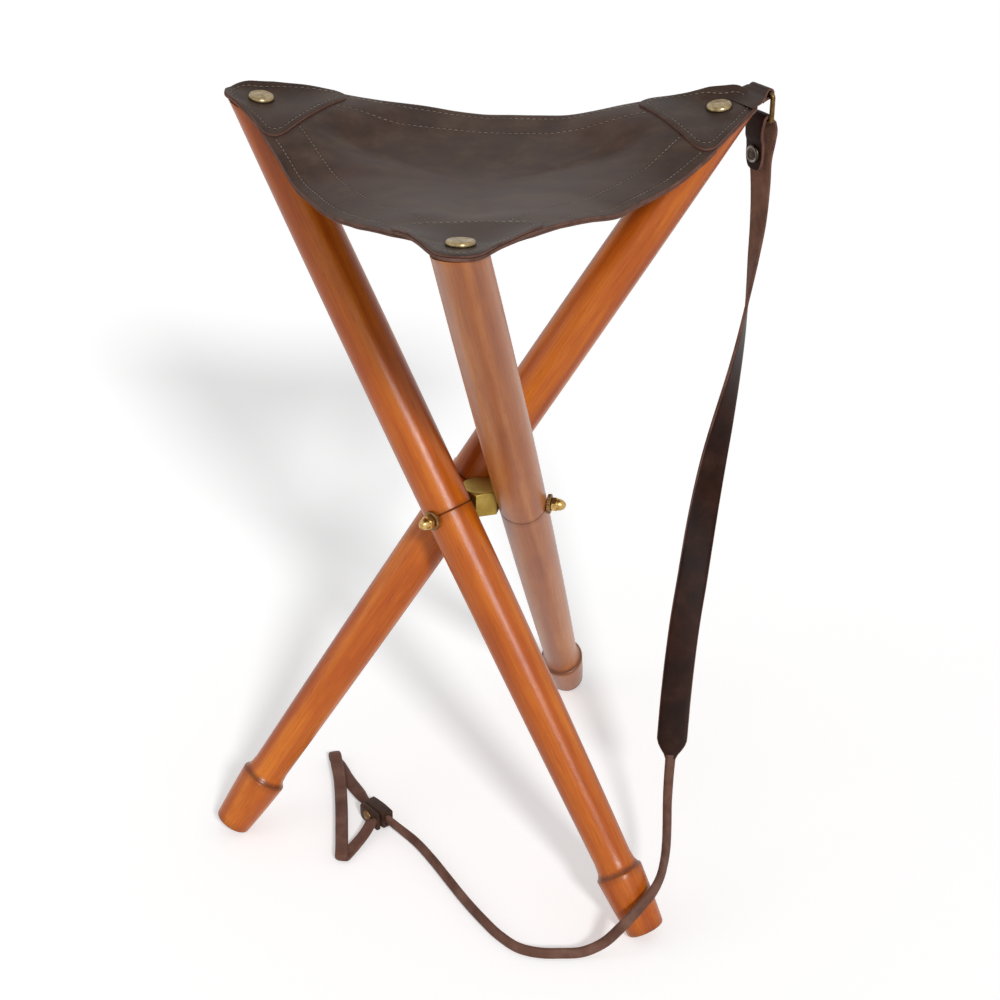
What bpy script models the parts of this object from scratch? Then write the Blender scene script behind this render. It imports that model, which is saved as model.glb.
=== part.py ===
"""Three-legged folding stool: turned legs on a brass hub, leather sling seat, carrying strap."""

import math

import bmesh
import bpy
from mathutils import Matrix, Vector

# Legs.
GAP = 0.0003
LEG_TILT = math.radians(35.6)
LEG_ABOVE = 0.3520
LEG_BELOW = 0.3612
PIVOT_RADIUS = 0.0343
LEG_AT_PIVOT = 0.0193
LEG_SLOPE = 0.00716
LEG_CURVE = -0.02343
FOOT_LENGTH = 0.0515
FOOT_END = 0.0152
FOOT_COLLAR = 0.0190
FOOT_ROUND = 0.0030
FOOT_WEAR = 0.0008
GROOVE_HALF = 0.0007
GROOVE_DEPTH = 0.0007
RIM_ROUND = 0.0012
LEG_SEGMENTS = 28
BOLT_ANGLES = (math.radians(120), math.radians(240), 0.0)

# Hub, studs, washers and nuts.
HUB_HALF = PIVOT_RADIUS - LEG_AT_PIVOT - GAP
HUB_HEIGHT = 0.0205
HUB_CHAMFER = 0.0016
HUB_BORE = 0.0080
STUD_RADIUS = 0.0030
WASHER_RADIUS = 0.0078
WASHER_THICK = 0.0016
NUT_ACROSS = 0.0104
NUT_BASE = 0.0046
NUT_HEIGHT = 0.0114
NUT_BORE = 0.0078

# Seat.
FOLD_LIFT = 0.2000
PANEL_THICK = 0.0034
PATCH_THICK = 0.0026
BAND_THICK = 0.0024
TIP_REACH = 0.0275
EDGE_OUT = 0.0235
EDGE_HOLLOW = 0.0035
SAG = 0.0245
SAG_SOFT = 0.35
EDGE_DROP = (0.0150, 0.0225, 0.0170)
EDGE_PEAK = (0.46, 0.40, 0.58)
EDGE_POWER = 2.4
FLAT_RADIUS = 0.0210
FLAT_FADE = 0.0450
REFINE_RADIUS = 0.0400
PATCH_INNER = 0.0580
PATCH_ROUND = 0.0150
BAND_INSIDE = 0.0210
BAND_END = 0.0420
SCREW_RADIUS = 0.0024
SCREW_DEPTH = 0.0220
SCREW_HEAD = 0.0050
CAP_RADIUS = 0.0102
CAP_HEIGHT = 0.0050
CAP_WALL = 0.0009

# Ring, tab and strap.
TAB_ANGLE = math.radians(45.94)
TAB_START = 0.0135
TAB_WIDTH = 0.0225
TAB_THICK = 0.0020
ROLL_BEYOND = 0.0095
ROLL_RISE = 0.0022
RING_WIRE = 0.00175
RING_WIDTH = 0.0312
RING_HEIGHT = 0.0245
RING_CORNER = 0.0029
STRAP_WIDTH = 0.0250
STRAP_THICK = 0.0026
FLAP_LENGTH = 0.0500
PRESS_DROP = 0.0372
PRESS_RADIUS = 0.0076
THONG_WIDTH = 0.0095
THONG_THICK = 0.0034
KEEPER_LENGTH = 0.0240
KEEPER_WALL = 0.0028
KEEPER_PLACE = (-0.0840, -0.0310, 0.0092)
KEEPER_ANGLE = math.radians(142)
RIVET_RADIUS = 0.0042

# Route of the strap below its fold: place, and the angle of its width seen from above.
STRAP_ROUTE = (
    ((0.1900, 0.1590, 0.528), 131),
    ((0.1902, 0.1585, 0.494), 122),
    ((0.1883, 0.1560, 0.461), 110),
    ((0.1862, 0.1515, 0.428), 95),
    ((0.1837, 0.1440, 0.396), 82),
    ((0.1800, 0.1340, 0.364), 69),
    ((0.1756, 0.1217, 0.333), 55),
    ((0.1714, 0.1074, 0.303), 42),
    ((0.1682, 0.0922, 0.273), 31),
    ((0.1660, 0.0765, 0.244), 22),
    ((0.1642, 0.0608, 0.2144), 15),
    ((0.1622, 0.0449, 0.185), 10),
    ((0.1614, 0.0284, 0.1563), 7),
    ((0.1614, 0.0120, 0.1275), 6),
    ((0.1622, -0.0050, 0.0995), 6),
    ((0.1624, -0.0100, 0.0918), 6),
)
# Route of the thong to its keeper: place, and the way its broad face looks.
THONG_ROUTE = (
    ((0.1625, -0.0104, 0.0912), (0.1, -0.85, 0.5)),
    ((0.1634, -0.0240, 0.0745), (0.2, -0.75, 0.6)),
    ((0.1652, -0.0400, 0.0630), (0.3, -0.60, 0.7)),
    ((0.1683, -0.0600, 0.0535), (0.5, -0.40, 0.7)),
    ((0.1708, -0.0800, 0.0487), (0.7, -0.25, 0.6)),
    ((0.1720, -0.1000, 0.0470), (0.8, -0.20, 0.5)),
    ((0.1716, -0.1200, 0.0465), (0.8, -0.35, 0.4)),
    ((0.1678, -0.1390, 0.0455), (0.6, -0.65, 0.4)),
    ((0.1590, -0.1530, 0.0405), (0.3, -0.85, 0.4)),
    ((0.1480, -0.1610, 0.0305), (0.1, -0.90, 0.4)),
    ((0.1360, -0.1660, 0.0180), (0.0, -0.90, 0.4)),
    ((0.1210, -0.1715, 0.0082), (0.0, -0.90, 0.4)),
    ((0.1036, -0.1763, 0.0056), (-0.05, -0.90, 0.42)),
    ((0.0885, -0.1790, 0.0054), (-0.1, -0.90, 0.42)),
    ((0.0725, -0.1775, 0.0054), (-0.3, -0.85, 0.42)),
    ((0.0540, -0.1665, 0.0054), (-0.55, -0.70, 0.42)),
    ((0.0345, -0.1485, 0.0054), (-0.65, -0.62, 0.42)),
    ((0.0160, -0.1290, 0.0054), (-0.67, -0.60, 0.42)),
    ((-0.0025, -0.1075, 0.0054), (-0.67, -0.60, 0.42)),
    ((-0.0215, -0.0855, 0.0056), (-0.66, -0.62, 0.38)),
    ((-0.0420, -0.0652, 0.0065), (-0.64, -0.68, 0.25)),
    ((-0.0600, -0.0505, 0.0082), (-0.62, -0.76, 0.08)),
)
# Route of the end loop, from the keeper round and back: place, and the upward lean of its inner face.
LOOP_ROUTE = (
    ((-0.1060, -0.0120, 0.0086), 0.15),
    ((-0.1170, 0.0035, 0.0070), 0.45),
    ((-0.1290, 0.0225, 0.0062), 0.65),
    ((-0.1375, 0.0360, 0.0060), 0.70),
    ((-0.1432, 0.0415, 0.0060), 0.70),
    ((-0.1480, 0.0360, 0.0060), 0.70),
    ((-0.1470, 0.0200, 0.0058), 0.75),
    ((-0.1390, 0.0000, 0.0056), 0.80),
    ((-0.1300, -0.0200, 0.0056), 0.80),
    ((-0.1200, -0.0450, 0.0056), 0.80),
    ((-0.1105, -0.0700, 0.0056), 0.80),
    ((-0.1025, -0.0920, 0.0058), 0.75),
    ((-0.0960, -0.1010, 0.0060), 0.70),
    ((-0.0895, -0.0975, 0.0060), 0.65),
    ((-0.0850, -0.0860, 0.0062), 0.60),
    ((-0.0808, -0.0720, 0.0066), 0.50),
    ((-0.0776, -0.0590, 0.0074), 0.30),
    ((-0.0772, -0.0490, 0.0084), 0.12),
)

UP = Vector((0, 0, 1))


def clear_scene():
    """Remove whatever the scene starts with."""
    for obj in list(bpy.data.objects):
        bpy.data.objects.remove(obj, do_unlink=True)


def make_material(name, colour, roughness, metallic=0.0):
    """Return a plain Principled material.

    Args:
        name: Name of the material.
        colour: Linear RGB base colour.
        roughness: Roughness from 0 to 1.
        metallic: 1 for bare metal.

    Returns:
        The new material.
    """
    material = bpy.data.materials.new(name)
    material.use_nodes = True
    shader = material.node_tree.nodes["Principled BSDF"]
    shader.inputs["Base Color"].default_value = (*colour, 1.0)
    shader.inputs["Roughness"].default_value = roughness
    shader.inputs["Metallic"].default_value = metallic
    return material


def make_empty(name, parent, matrix):
    """Add an empty whose world placement is the given matrix, with an unturned unscaled parent."""
    empty = bpy.data.objects.new(name, None)
    bpy.context.collection.objects.link(empty)
    empty.parent = parent
    empty.matrix_local = matrix
    return empty


def make_object(name, bm, material, parent, local=None):
    """Turn a bmesh into a named object under its parent.

    Args:
        name: Name of the sub-part.
        bm: The finished mesh, freed here.
        material: Its one material.
        parent: Parent object.
        local: Placement in the parent, identity when left out.

    Returns:
        The new object.
    """
    bmesh.ops.recalc_face_normals(bm, faces=bm.faces[:])
    mesh = bpy.data.meshes.new(name)
    bm.to_mesh(mesh)
    bm.free()
    mesh.materials.append(material)
    obj = bpy.data.objects.new(name, mesh)
    bpy.context.collection.objects.link(obj)
    obj.parent = parent
    obj.matrix_local = local if local is not None else Matrix.Identity(4)
    return obj


def make_cutter(name, bm, parent, local=None):
    """Make a hidden helper for a Boolean modifier."""
    bmesh.ops.recalc_face_normals(bm, faces=bm.faces[:])
    mesh = bpy.data.meshes.new(name)
    bm.to_mesh(mesh)
    bm.free()
    obj = bpy.data.objects.new(name, mesh)
    bpy.context.collection.objects.link(obj)
    obj.parent = parent
    obj.matrix_local = local if local is not None else Matrix.Identity(4)
    obj.hide_render = True
    obj.display_type = "WIRE"
    return obj


def cut_with(obj, cutter):
    """Take the cutter's shape out of an object."""
    modifier = obj.modifiers.new("bore", "BOOLEAN")
    modifier.operation = "DIFFERENCE"
    modifier.solver = "EXACT"
    modifier.object = cutter


def lathe(profile, segments):
    """Spin a list of (radius, height) points round Z into a closed body."""
    bm = bmesh.new()
    verts = [bm.verts.new((r, 0, z)) for r, z in profile]
    edges = [bm.edges.new(pair) for pair in zip(verts, verts[1:])]
    bmesh.ops.spin(bm, geom=verts + edges, cent=(0, 0, 0), axis=(0, 0, 1), angle=math.tau,
                   steps=segments, use_merge=True, use_duplicate=False)
    bmesh.ops.remove_doubles(bm, verts=bm.verts[:], dist=1e-6)
    return bm


def loft(rings, closed=False):
    """Join equal rings of points into one body, with flat ends unless it closes on itself."""
    bm = bmesh.new()
    rows = [[bm.verts.new(p) for p in ring] for ring in rings]
    pairs = list(zip(rows, rows[1:]))
    if closed:
        pairs.append((rows[-1], rows[0]))
    for low, high in pairs:
        for k in range(len(low)):
            n = (k + 1) % len(low)
            bm.faces.new((low[k], low[n], high[n], high[k]))
    if not closed:
        bm.faces.new(rows[0][::-1])
        bm.faces.new(rows[-1])
    return bm


def add_cylinder(bm, start, end, radius, segments=20):
    """Add a capped cylinder between two points."""
    start = Vector(start)
    end = Vector(end)
    axis = end - start
    turn = UP.rotation_difference(axis).to_matrix().to_4x4()
    place = Matrix.Translation((start + end) / 2) @ turn
    bmesh.ops.create_cone(bm, cap_ends=True, segments=segments, radius1=radius, radius2=radius,
                          depth=axis.length, matrix=place)


def leg_radius(s):
    """Radius of the turned leg at a distance above the pivot."""
    return LEG_AT_PIVOT + LEG_SLOPE * s + LEG_CURVE * s * s


def leg_profile():
    """Return the leg's (radius, height) outline from its foot to past its seat end."""
    base = -LEG_BELOW
    points = [(0.0, base)]
    for k in range(5):
        a = math.radians(90 * k / 4)
        points.append((FOOT_END - FOOT_ROUND + FOOT_ROUND * math.sin(a), base + FOOT_ROUND * (1 - math.cos(a))))
    points.append(((FOOT_END + FOOT_COLLAR) / 2 + 0.0003, base + FOOT_LENGTH * 0.5))
    points.append((FOOT_COLLAR, base + FOOT_LENGTH - 0.0012))
    points.append((FOOT_COLLAR - 0.0006, base + FOOT_LENGTH))
    points.append((FOOT_COLLAR - 0.0013, base + FOOT_LENGTH + 0.0003))
    points.append((FOOT_COLLAR - 0.0020, base + FOOT_LENGTH + 0.0020))
    points.append((FOOT_COLLAR - 0.0032, base + FOOT_LENGTH + 0.0048))
    for s in (-0.300, -0.235, -0.160, -0.080):
        points.append((leg_radius(s), s))
    points.append((leg_radius(0), -GROOVE_HALF))
    points.append((leg_radius(0) - GROOVE_DEPTH, 0.0))
    points.append((leg_radius(0), GROOVE_HALF))
    for s in (0.090, 0.180, 0.270):
        points.append((leg_radius(s), s))
    beyond = LEG_ABOVE + LEG_AT_PIVOT * 1.4
    points.append((leg_radius(LEG_ABOVE), beyond))
    points.append((0.0, beyond))
    return points


def pivot_height():
    """Height of the pivots with the worn feet level on the floor."""
    low = min(s * math.cos(LEG_TILT) - r * math.sin(LEG_TILT) for r, s in leg_profile())
    return -low - FOOT_WEAR


PIVOT_Z = pivot_height()
SEAT_Z = PIVOT_Z + LEG_ABOVE * math.cos(LEG_TILT)


def bolt_direction(k):
    """Direction of a leg's pivot stud, away from the hub."""
    return Vector((math.cos(BOLT_ANGLES[k]), math.sin(BOLT_ANGLES[k]), 0))


def lean_direction(k):
    """Direction in which a leg's seat end leans."""
    return Vector((math.sin(BOLT_ANGLES[k]), -math.cos(BOLT_ANGLES[k]), 0))


def leg_end(k):
    """Centre of a leg's seat end."""
    out = bolt_direction(k) * PIVOT_RADIUS + lean_direction(k) * LEG_ABOVE * math.sin(LEG_TILT)
    return Vector((out.x, out.y, SEAT_Z))


def soft_bowl(share):
    """Rise of the seat from 0 at its middle to 1 at its rim, and its slope there, rounded at the middle."""
    span = math.sqrt(1 + SAG_SOFT ** 2) - SAG_SOFT
    length = math.sqrt(share ** 2 + SAG_SOFT ** 2)
    return (length - SAG_SOFT) / span, share / (length * span)


def corner_shape():
    """Return the height of the seat's tips above the leg ends, and its slope at the leg ends."""
    radius = leg_end(0).to_2d().length
    rise, slope = soft_bowl(radius / (radius + TIP_REACH))
    return SAG / rise - SAG, SAG / rise * slope / (radius + TIP_REACH)


def out_direction(k):
    """Direction in plan from the stool's middle to a leg's seat end."""
    end = leg_end(k)
    return Vector((end.x, end.y, 0)).normalized()


def corner_normal(k):
    """Direction square to a leg's seat end, leaning in to follow the sagging seat."""
    return (UP - out_direction(k) * corner_shape()[1]).normalized()


def leather_stack():
    """Height of a corner patch's top above the leg end under it."""
    return GAP + PANEL_THICK + GAP + PATCH_THICK


def pivot_matrix(k):
    """Placement of a leg's pivot: X along the stud, Z up the leg."""
    u = bolt_direction(k)
    axis = lean_direction(k) * math.sin(LEG_TILT) + UP * math.cos(LEG_TILT)
    side = axis.cross(u)
    turn = Matrix((u, side, axis)).transposed().to_4x4()
    return Matrix.Translation(u * PIVOT_RADIUS + UP * PIVOT_Z) @ turn


def trim(bm, point, normal):
    """Cut away what lies beyond a plane and close the cut flat.

    Returns:
        The edges of the new flat face.
    """
    geom = bm.verts[:] + bm.edges[:] + bm.faces[:]
    cut = bmesh.ops.bisect_plane(bm, geom=geom, plane_co=point, plane_no=normal, clear_outer=True)
    edges = [e for e in cut["geom_cut"] if isinstance(e, bmesh.types.BMEdge)]
    bmesh.ops.contextual_create(bm, geom=edges)
    return edges


def build_leg(k, pivot, wood):
    """Turn one leg, cut its ends to the seat and the floor and bore it for the stud and the seat screw."""
    level = Vector((0, math.sin(LEG_TILT), math.cos(LEG_TILT)))
    normal = pivot_matrix(k).to_3x3().inverted() @ corner_normal(k)
    bm = lathe(leg_profile(), LEG_SEGMENTS)
    rim = trim(bm, (0, 0, LEG_ABOVE), normal)
    bmesh.ops.bevel(bm, geom=rim, offset=RIM_ROUND, segments=2, profile=0.5, affect="EDGES")
    trim(bm, (0, 0, -PIVOT_Z / math.cos(LEG_TILT)), -level)
    leg = make_object(f"leg_{k + 1}", bm, wood, pivot)
    cutter = bmesh.new()
    add_cylinder(cutter, (-0.03, 0, 0), (0.03, 0, 0), STUD_RADIUS + GAP)
    end = Vector((0, 0, LEG_ABOVE))
    add_cylinder(cutter, end - normal * (SCREW_DEPTH + GAP), end + normal * SCREW_DEPTH, SCREW_RADIUS + GAP, 16)
    cut_with(leg, make_cutter(f"leg_{k + 1}_bores", cutter, pivot))
    return leg


def build_hub(root, brass):
    """Make the six-sided hub with three stud bores."""
    rings = []
    half = HUB_HEIGHT / 2
    for z, inset in ((-half, HUB_CHAMFER), (-half + HUB_CHAMFER, 0), (half - HUB_CHAMFER, 0), (half, HUB_CHAMFER)):
        corner = (HUB_HALF - inset) / math.cos(math.radians(30))
        rings.append([(corner * math.cos(a), corner * math.sin(a), PIVOT_Z + z)
                      for a in (math.radians(30 + 60 * n) for n in range(6))])
    hub = make_object("pivot_hub", loft(rings), brass, root)
    cutter = bmesh.new()
    for k in range(3):
        u = bolt_direction(k)
        lift = UP * PIVOT_Z
        add_cylinder(cutter, u * (HUB_HALF - HUB_BORE) + lift, u * (HUB_HALF + 0.01) + lift, STUD_RADIUS + GAP)
    cut_with(hub, make_cutter("hub_bores", cutter, root))


def stud_matrix(k):
    """Placement on a stud's axis: Z outward along the stud, from the hub's middle."""
    u = bolt_direction(k)
    side = UP.cross(u)
    turn = Matrix((side, u.cross(side), u)).transposed().to_4x4()
    return Matrix.Translation(UP * PIVOT_Z) @ turn


def hexagon_radius(angle, half):
    """Radius of a hexagon at an angle, with a flat every sixty degrees."""
    fold = (angle + math.radians(30)) % math.radians(60) - math.radians(30)
    return half / math.cos(fold)


def build_pivot_hardware(k, root, brass, steel):
    """Make one stud with its washer and acorn nut."""
    place = stud_matrix(k)
    washer_low = PIVOT_RADIUS + LEG_AT_PIVOT + GAP
    washer_high = washer_low + WASHER_THICK
    nut_low = washer_high + GAP
    inner = HUB_HALF - HUB_BORE + GAP
    outer = nut_low + NUT_BORE - GAP
    tip = 0.0008
    stud = lathe([(0, inner), (STUD_RADIUS - tip, inner), (STUD_RADIUS, inner + tip), (STUD_RADIUS, outer - tip),
                  (STUD_RADIUS - tip, outer), (0, outer)], 20)
    make_object(f"pivot_stud_{k + 1}", stud, steel, root, place)
    hole = STUD_RADIUS + GAP
    edge = 0.0004
    rings = []
    profile = ((hole, washer_low), (WASHER_RADIUS - edge, washer_low), (WASHER_RADIUS, washer_low + edge),
               (WASHER_RADIUS, washer_high - edge), (WASHER_RADIUS - edge, washer_high), (hole, washer_high))
    for r, z in profile:
        rings.append([(r * math.cos(a), r * math.sin(a), z) for a in (math.tau * n / 28 for n in range(28))])
    make_object(f"pivot_washer_{k + 1}", loft(rings, closed=True), steel, root, place)
    steps = [math.tau * n / 24 for n in range(24)]
    half = NUT_ACROSS / 2
    dome = half * 0.94
    rings = [[(hole * math.cos(a), hole * math.sin(a), nut_low + NUT_BORE) for a in steps],
             [(hole * math.cos(a), hole * math.sin(a), nut_low) for a in steps],
             [(half * 0.97 * math.cos(a), half * 0.97 * math.sin(a), nut_low) for a in steps]]
    for z in (0.0006, NUT_BASE - 0.0006):
        rings.append([(hexagon_radius(a, half) * math.cos(a), hexagon_radius(a, half) * math.sin(a), nut_low + z)
                      for a in steps])
    rise = NUT_HEIGHT - NUT_BASE
    for t in (0, 0.3, 0.55, 0.75, 0.9, 0.98):
        r = dome * math.sqrt(1 - t * t)
        rings.append([(r * math.cos(a), r * math.sin(a), nut_low + NUT_BASE + rise * t) for a in steps])
    make_object(f"acorn_nut_{k + 1}", loft(rings), brass, root, place)


def smooth_step(t):
    """Ease from 0 to 1."""
    t = min(1.0, max(0.0, t))
    return t * t * (3 - 2 * t)


def end_distance(point):
    """Distance in plan from a point to the nearest leg end."""
    return min((point - leg_end(k)).to_2d().length for k in range(3))


def seat_outline():
    """Return the seat's plan outline, anticlockwise."""
    points = []
    shift = 2 * (TIP_REACH - EDGE_OUT)
    radius = EDGE_OUT - shift / 2
    for k in range(3):
        here = leg_end(k) + out_direction(k) * shift
        there = leg_end((k + 1) % 3) + out_direction((k + 1) % 3) * shift
        along = (there - here).normalized()
        normal = Vector((along.y, -along.x, 0))
        start = math.atan2(normal.y, normal.x) - math.radians(120)
        for step in range(6):
            a = start + math.radians(120 * step / 6)
            points.append(here + Vector((math.cos(a), math.sin(a), 0)) * radius)
        for step in range(12):
            t = step / 12
            out = radius - EDGE_HOLLOW * math.sin(math.pi * t) ** 2
            points.append(here.lerp(there, t) + normal * out)
    return points


def crossing(a, b, point):
    """Return where the ray from the middle through a point meets the line a to b, as a scale and a share of it."""
    side = b - a
    scale = (a.x * side.y - a.y * side.x) / (point.x * side.y - point.y * side.x)
    share = (point * scale - a).dot(side) / side.length_squared
    return scale, share


def rim_share(point, outline):
    """Return how far a point lies from the seat's middle, as a share of the way to the rim."""
    for a, b in zip(outline, outline[1:] + outline[:1]):
        if a.x * point.y - a.y * point.x >= 0 and point.x * b.y - point.y * b.x > 0:
            return 1 / crossing(a.to_2d(), b.to_2d(), point.to_2d())[0]
    return 0.0


def rim_height(point):
    """Height of the seat's rim in the direction of a point."""
    tip = corner_shape()[0]
    for k in range(3):
        a = leg_end(k)
        b = leg_end((k + 1) % 3)
        if a.x * point.y - a.y * point.x >= 0 and point.x * b.y - point.y * b.x > 0:
            share = crossing(a.to_2d(), b.to_2d(), point.to_2d())[1]
            even = max(0.0, share) ** (math.log(0.5) / math.log(EDGE_PEAK[k]))
            return tip - (tip + EDGE_DROP[k]) * max(0.0, math.sin(math.pi * even)) ** EDGE_POWER
    return tip


def seat_height(point, outline):
    """Height of the sagging leather against the leg ends."""
    bowl = (SAG + rim_height(point)) * soft_bowl(rim_share(point, outline))[0] - SAG
    k = min(range(3), key=lambda n: (point - leg_end(n)).to_2d().length)
    plane = (point - leg_end(k)).dot(out_direction(k)) * corner_shape()[1]
    free = smooth_step((end_distance(point) - FLAT_RADIUS) / (FLAT_FADE - FLAT_RADIUS))
    return plane + (bowl - plane) * free


def seat_surface():
    """Return the seat's sagging top as one sheet of triangles about the level of its corners."""
    outline = seat_outline()
    fractions = (0.22, 0.42, 0.58, 0.70, 0.79, 0.86, 0.93, 1.0)
    bm = bmesh.new()
    rows = [[bm.verts.new((p.x * f, p.y * f, 0)) for p in outline] for f in fractions]
    middle = bm.verts.new((0, 0, 0))
    count = len(outline)
    for n in range(count):
        bm.faces.new((middle, rows[0][n], rows[0][(n + 1) % count]))
    for low, high in zip(rows, rows[1:]):
        for n in range(count):
            m = (n + 1) % count
            bm.faces.new((low[n], high[n], high[m], low[m]))
    bmesh.ops.triangulate(bm, faces=bm.faces[:])
    close = [e for e in bm.edges if not e.is_boundary
             and end_distance((e.verts[0].co + e.verts[1].co) / 2) < REFINE_RADIUS]
    bmesh.ops.subdivide_edges(bm, edges=close, cuts=1)
    bmesh.ops.triangulate(bm, faces=bm.faces[:])
    for v in bm.verts:
        v.co.z = seat_height(v.co, outline)
    return bm


def keep_beyond(bm, point, normal):
    """Keep only the part of a sheet that lies on the normal's side of an upright plane."""
    geom = bm.verts[:] + bm.edges[:] + bm.faces[:]
    bmesh.ops.bisect_plane(bm, geom=geom, plane_co=point, plane_no=normal, clear_inner=True)


def thicken(bm, low, high):
    """Turn a sheet into a solid between two heights above the sheet."""
    bmesh.ops.triangulate(bm, faces=bm.faces[:])
    sheet = bm.faces[:]
    top = bmesh.ops.extrude_face_region(bm, geom=sheet)["geom"]
    moved = [v for v in top if isinstance(v, bmesh.types.BMVert)]
    still = [v for v in bm.verts if v not in set(moved)]
    bmesh.ops.translate(bm, verts=moved, vec=(0, 0, high))
    bmesh.ops.translate(bm, verts=still, vec=(0, 0, low))


def screw_holes(parent):
    """Make the helper that bores the leather for the three seat screws."""
    bm = bmesh.new()
    for k in range(3):
        end = leg_end(k)
        normal = corner_normal(k)
        add_cylinder(bm, end - normal * SCREW_DEPTH, end + normal * SCREW_DEPTH, SCREW_RADIUS + GAP, 16)
    return make_cutter("seat_screw_holes", bm, parent)


def build_seat(root, poles, leather, patch_leather, band_leather):
    """Make the panel, the bands under its sides and the patches on its corners."""
    holes = screw_holes(root)
    low = SEAT_Z + GAP
    high = low + PANEL_THICK
    bm = seat_surface()
    thicken(bm, low, high)
    panel = make_object("seat_panel", bm, leather, root)
    cut_with(panel, holes)
    for k in range(3):
        here = leg_end(k)
        there = leg_end((k + 1) % 3)
        along = (there - here).normalized()
        normal = Vector((along.y, -along.x, 0))
        bm = seat_surface()
        keep_beyond(bm, here - normal * BAND_INSIDE, normal)
        keep_beyond(bm, here + along * BAND_END, along)
        keep_beyond(bm, there - along * BAND_END, -along)
        thicken(bm, low - GAP - BAND_THICK, low - GAP)
        make_object(f"edge_band_{k + 1}", bm, band_leather, root)
    for k in range(3):
        here = leg_end(k)
        out = out_direction(k)
        side = UP.cross(out)
        bm = seat_surface()
        keep_beyond(bm, here - out * PATCH_INNER, out)
        reach = EDGE_OUT - RIM_ROUND
        centre_out = PATCH_ROUND - PATCH_INNER
        centre_side = (reach - PATCH_ROUND - 0.5 * centre_out) / math.cos(math.radians(30))
        for sign in (1, -1):
            centre = here + out * centre_out + side * sign * centre_side
            for turn in (30, 60, 90):
                a = math.radians(turn)
                away = -out * math.cos(a) + side * sign * math.sin(a)
                keep_beyond(bm, centre + away * PATCH_ROUND, -away)
        thicken(bm, high + GAP, high + GAP + PATCH_THICK)
        pole = poles[k]
        patch = make_object(f"corner_patch_{k + 1}", bm, patch_leather, pole, Matrix.Translation(-pole.location))
        cut_with(patch, holes)


def build_fixings(k, pivot, brass, steel):
    """Make one seat screw and the domed cap over its head."""
    turn = UP.rotation_difference(corner_normal(k)).to_matrix().to_4x4()
    place = pivot_matrix(k).inverted() @ Matrix.Translation(leg_end(k)) @ turn
    seat = leather_stack() * corner_normal(k).z + GAP
    screw = lathe([(0, -SCREW_DEPTH), (SCREW_RADIUS, -SCREW_DEPTH + 0.005), (SCREW_RADIUS, seat),
                   (SCREW_HEAD, seat), (SCREW_HEAD, seat + 0.0014), (SCREW_HEAD * 0.6, seat + 0.0026),
                   (0, seat + 0.0028)], 20)
    make_object(f"seat_screw_{k + 1}", screw, steel, pivot, place)
    outer = []
    inner = []
    for n in range(6):
        a = math.radians(90 * n / 5)
        outer.append((CAP_RADIUS * math.cos(a), seat + 0.0010 + (CAP_HEIGHT - 0.0010) * math.sin(a)))
        r = CAP_RADIUS - CAP_WALL
        inner.append((r * math.cos(a), seat + 0.0010 + (CAP_HEIGHT - 0.0010 - CAP_WALL) * math.sin(a)))
    profile = [(0, inner[-1][1])] + inner[-2::-1] + [(CAP_RADIUS - CAP_WALL, seat), (CAP_RADIUS, seat)]
    profile += outer[:-1] + [(0, outer[-1][1])]
    make_object(f"seat_cap_{k + 1}", lathe(profile, 24), brass, pivot, place)


def ribbon_ring(centre, wide, thick, width, depth):
    """Return one eight-sided slice of a strip with softened edges."""
    half_w = width / 2
    half_t = depth / 2
    cut = min(half_t * 0.55, 0.0007)
    corners = ((half_w - cut, half_t), (half_w, half_t - cut), (half_w, cut - half_t), (half_w - cut, -half_t),
               (cut - half_w, -half_t), (-half_w, cut - half_t), (-half_w, half_t - cut), (cut - half_w, half_t))
    return [centre + wide * a + thick * b for a, b in corners]


def smooth_route(points, per_span):
    """Read a smooth curve through given points, several to a span.

    Args:
        points: Places the curve goes through.
        per_span: Number of steps between two places.

    Returns:
        List of (place, index of the span, share of the span).
    """
    result = []
    last = len(points) - 1
    for k in range(last):
        before = points[max(k - 1, 0)]
        after = points[min(k + 2, last)]
        a = points[k]
        b = points[k + 1]
        for step in range(per_span):
            t = step / per_span
            slope_a = (b - before) / 2
            slope_b = (after - a) / 2
            place = (a * (2 * t ** 3 - 3 * t ** 2 + 1) + slope_a * (t ** 3 - 2 * t ** 2 + t)
                     + b * (3 * t ** 2 - 2 * t ** 3) + slope_b * (t ** 3 - t ** 2))
            result.append((place, k, t))
    result.append((points[last], last - 1, 1.0))
    return result


def tangents(places):
    """Return the unit direction at each place of a route."""
    last = len(places) - 1
    return [(places[min(n + 1, last)] - places[max(n - 1, 0)]).normalized() for n in range(len(places))]


def square_to(vector, axis):
    """Return the unit part of a vector square to an axis."""
    return (vector - axis * vector.dot(axis)).normalized()


def tab_frame():
    """Return the tab's outward direction, its width direction and the roll's centre."""
    out = Vector((math.cos(TAB_ANGLE), math.sin(TAB_ANGLE), 0))
    side = UP.cross(out)
    tip = leather_stack() + TIP_REACH * corner_shape()[1]
    centre = leg_end(0) + out * (TIP_REACH + ROLL_BEYOND) + UP * (tip + ROLL_RISE)
    return out, side, centre


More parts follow.
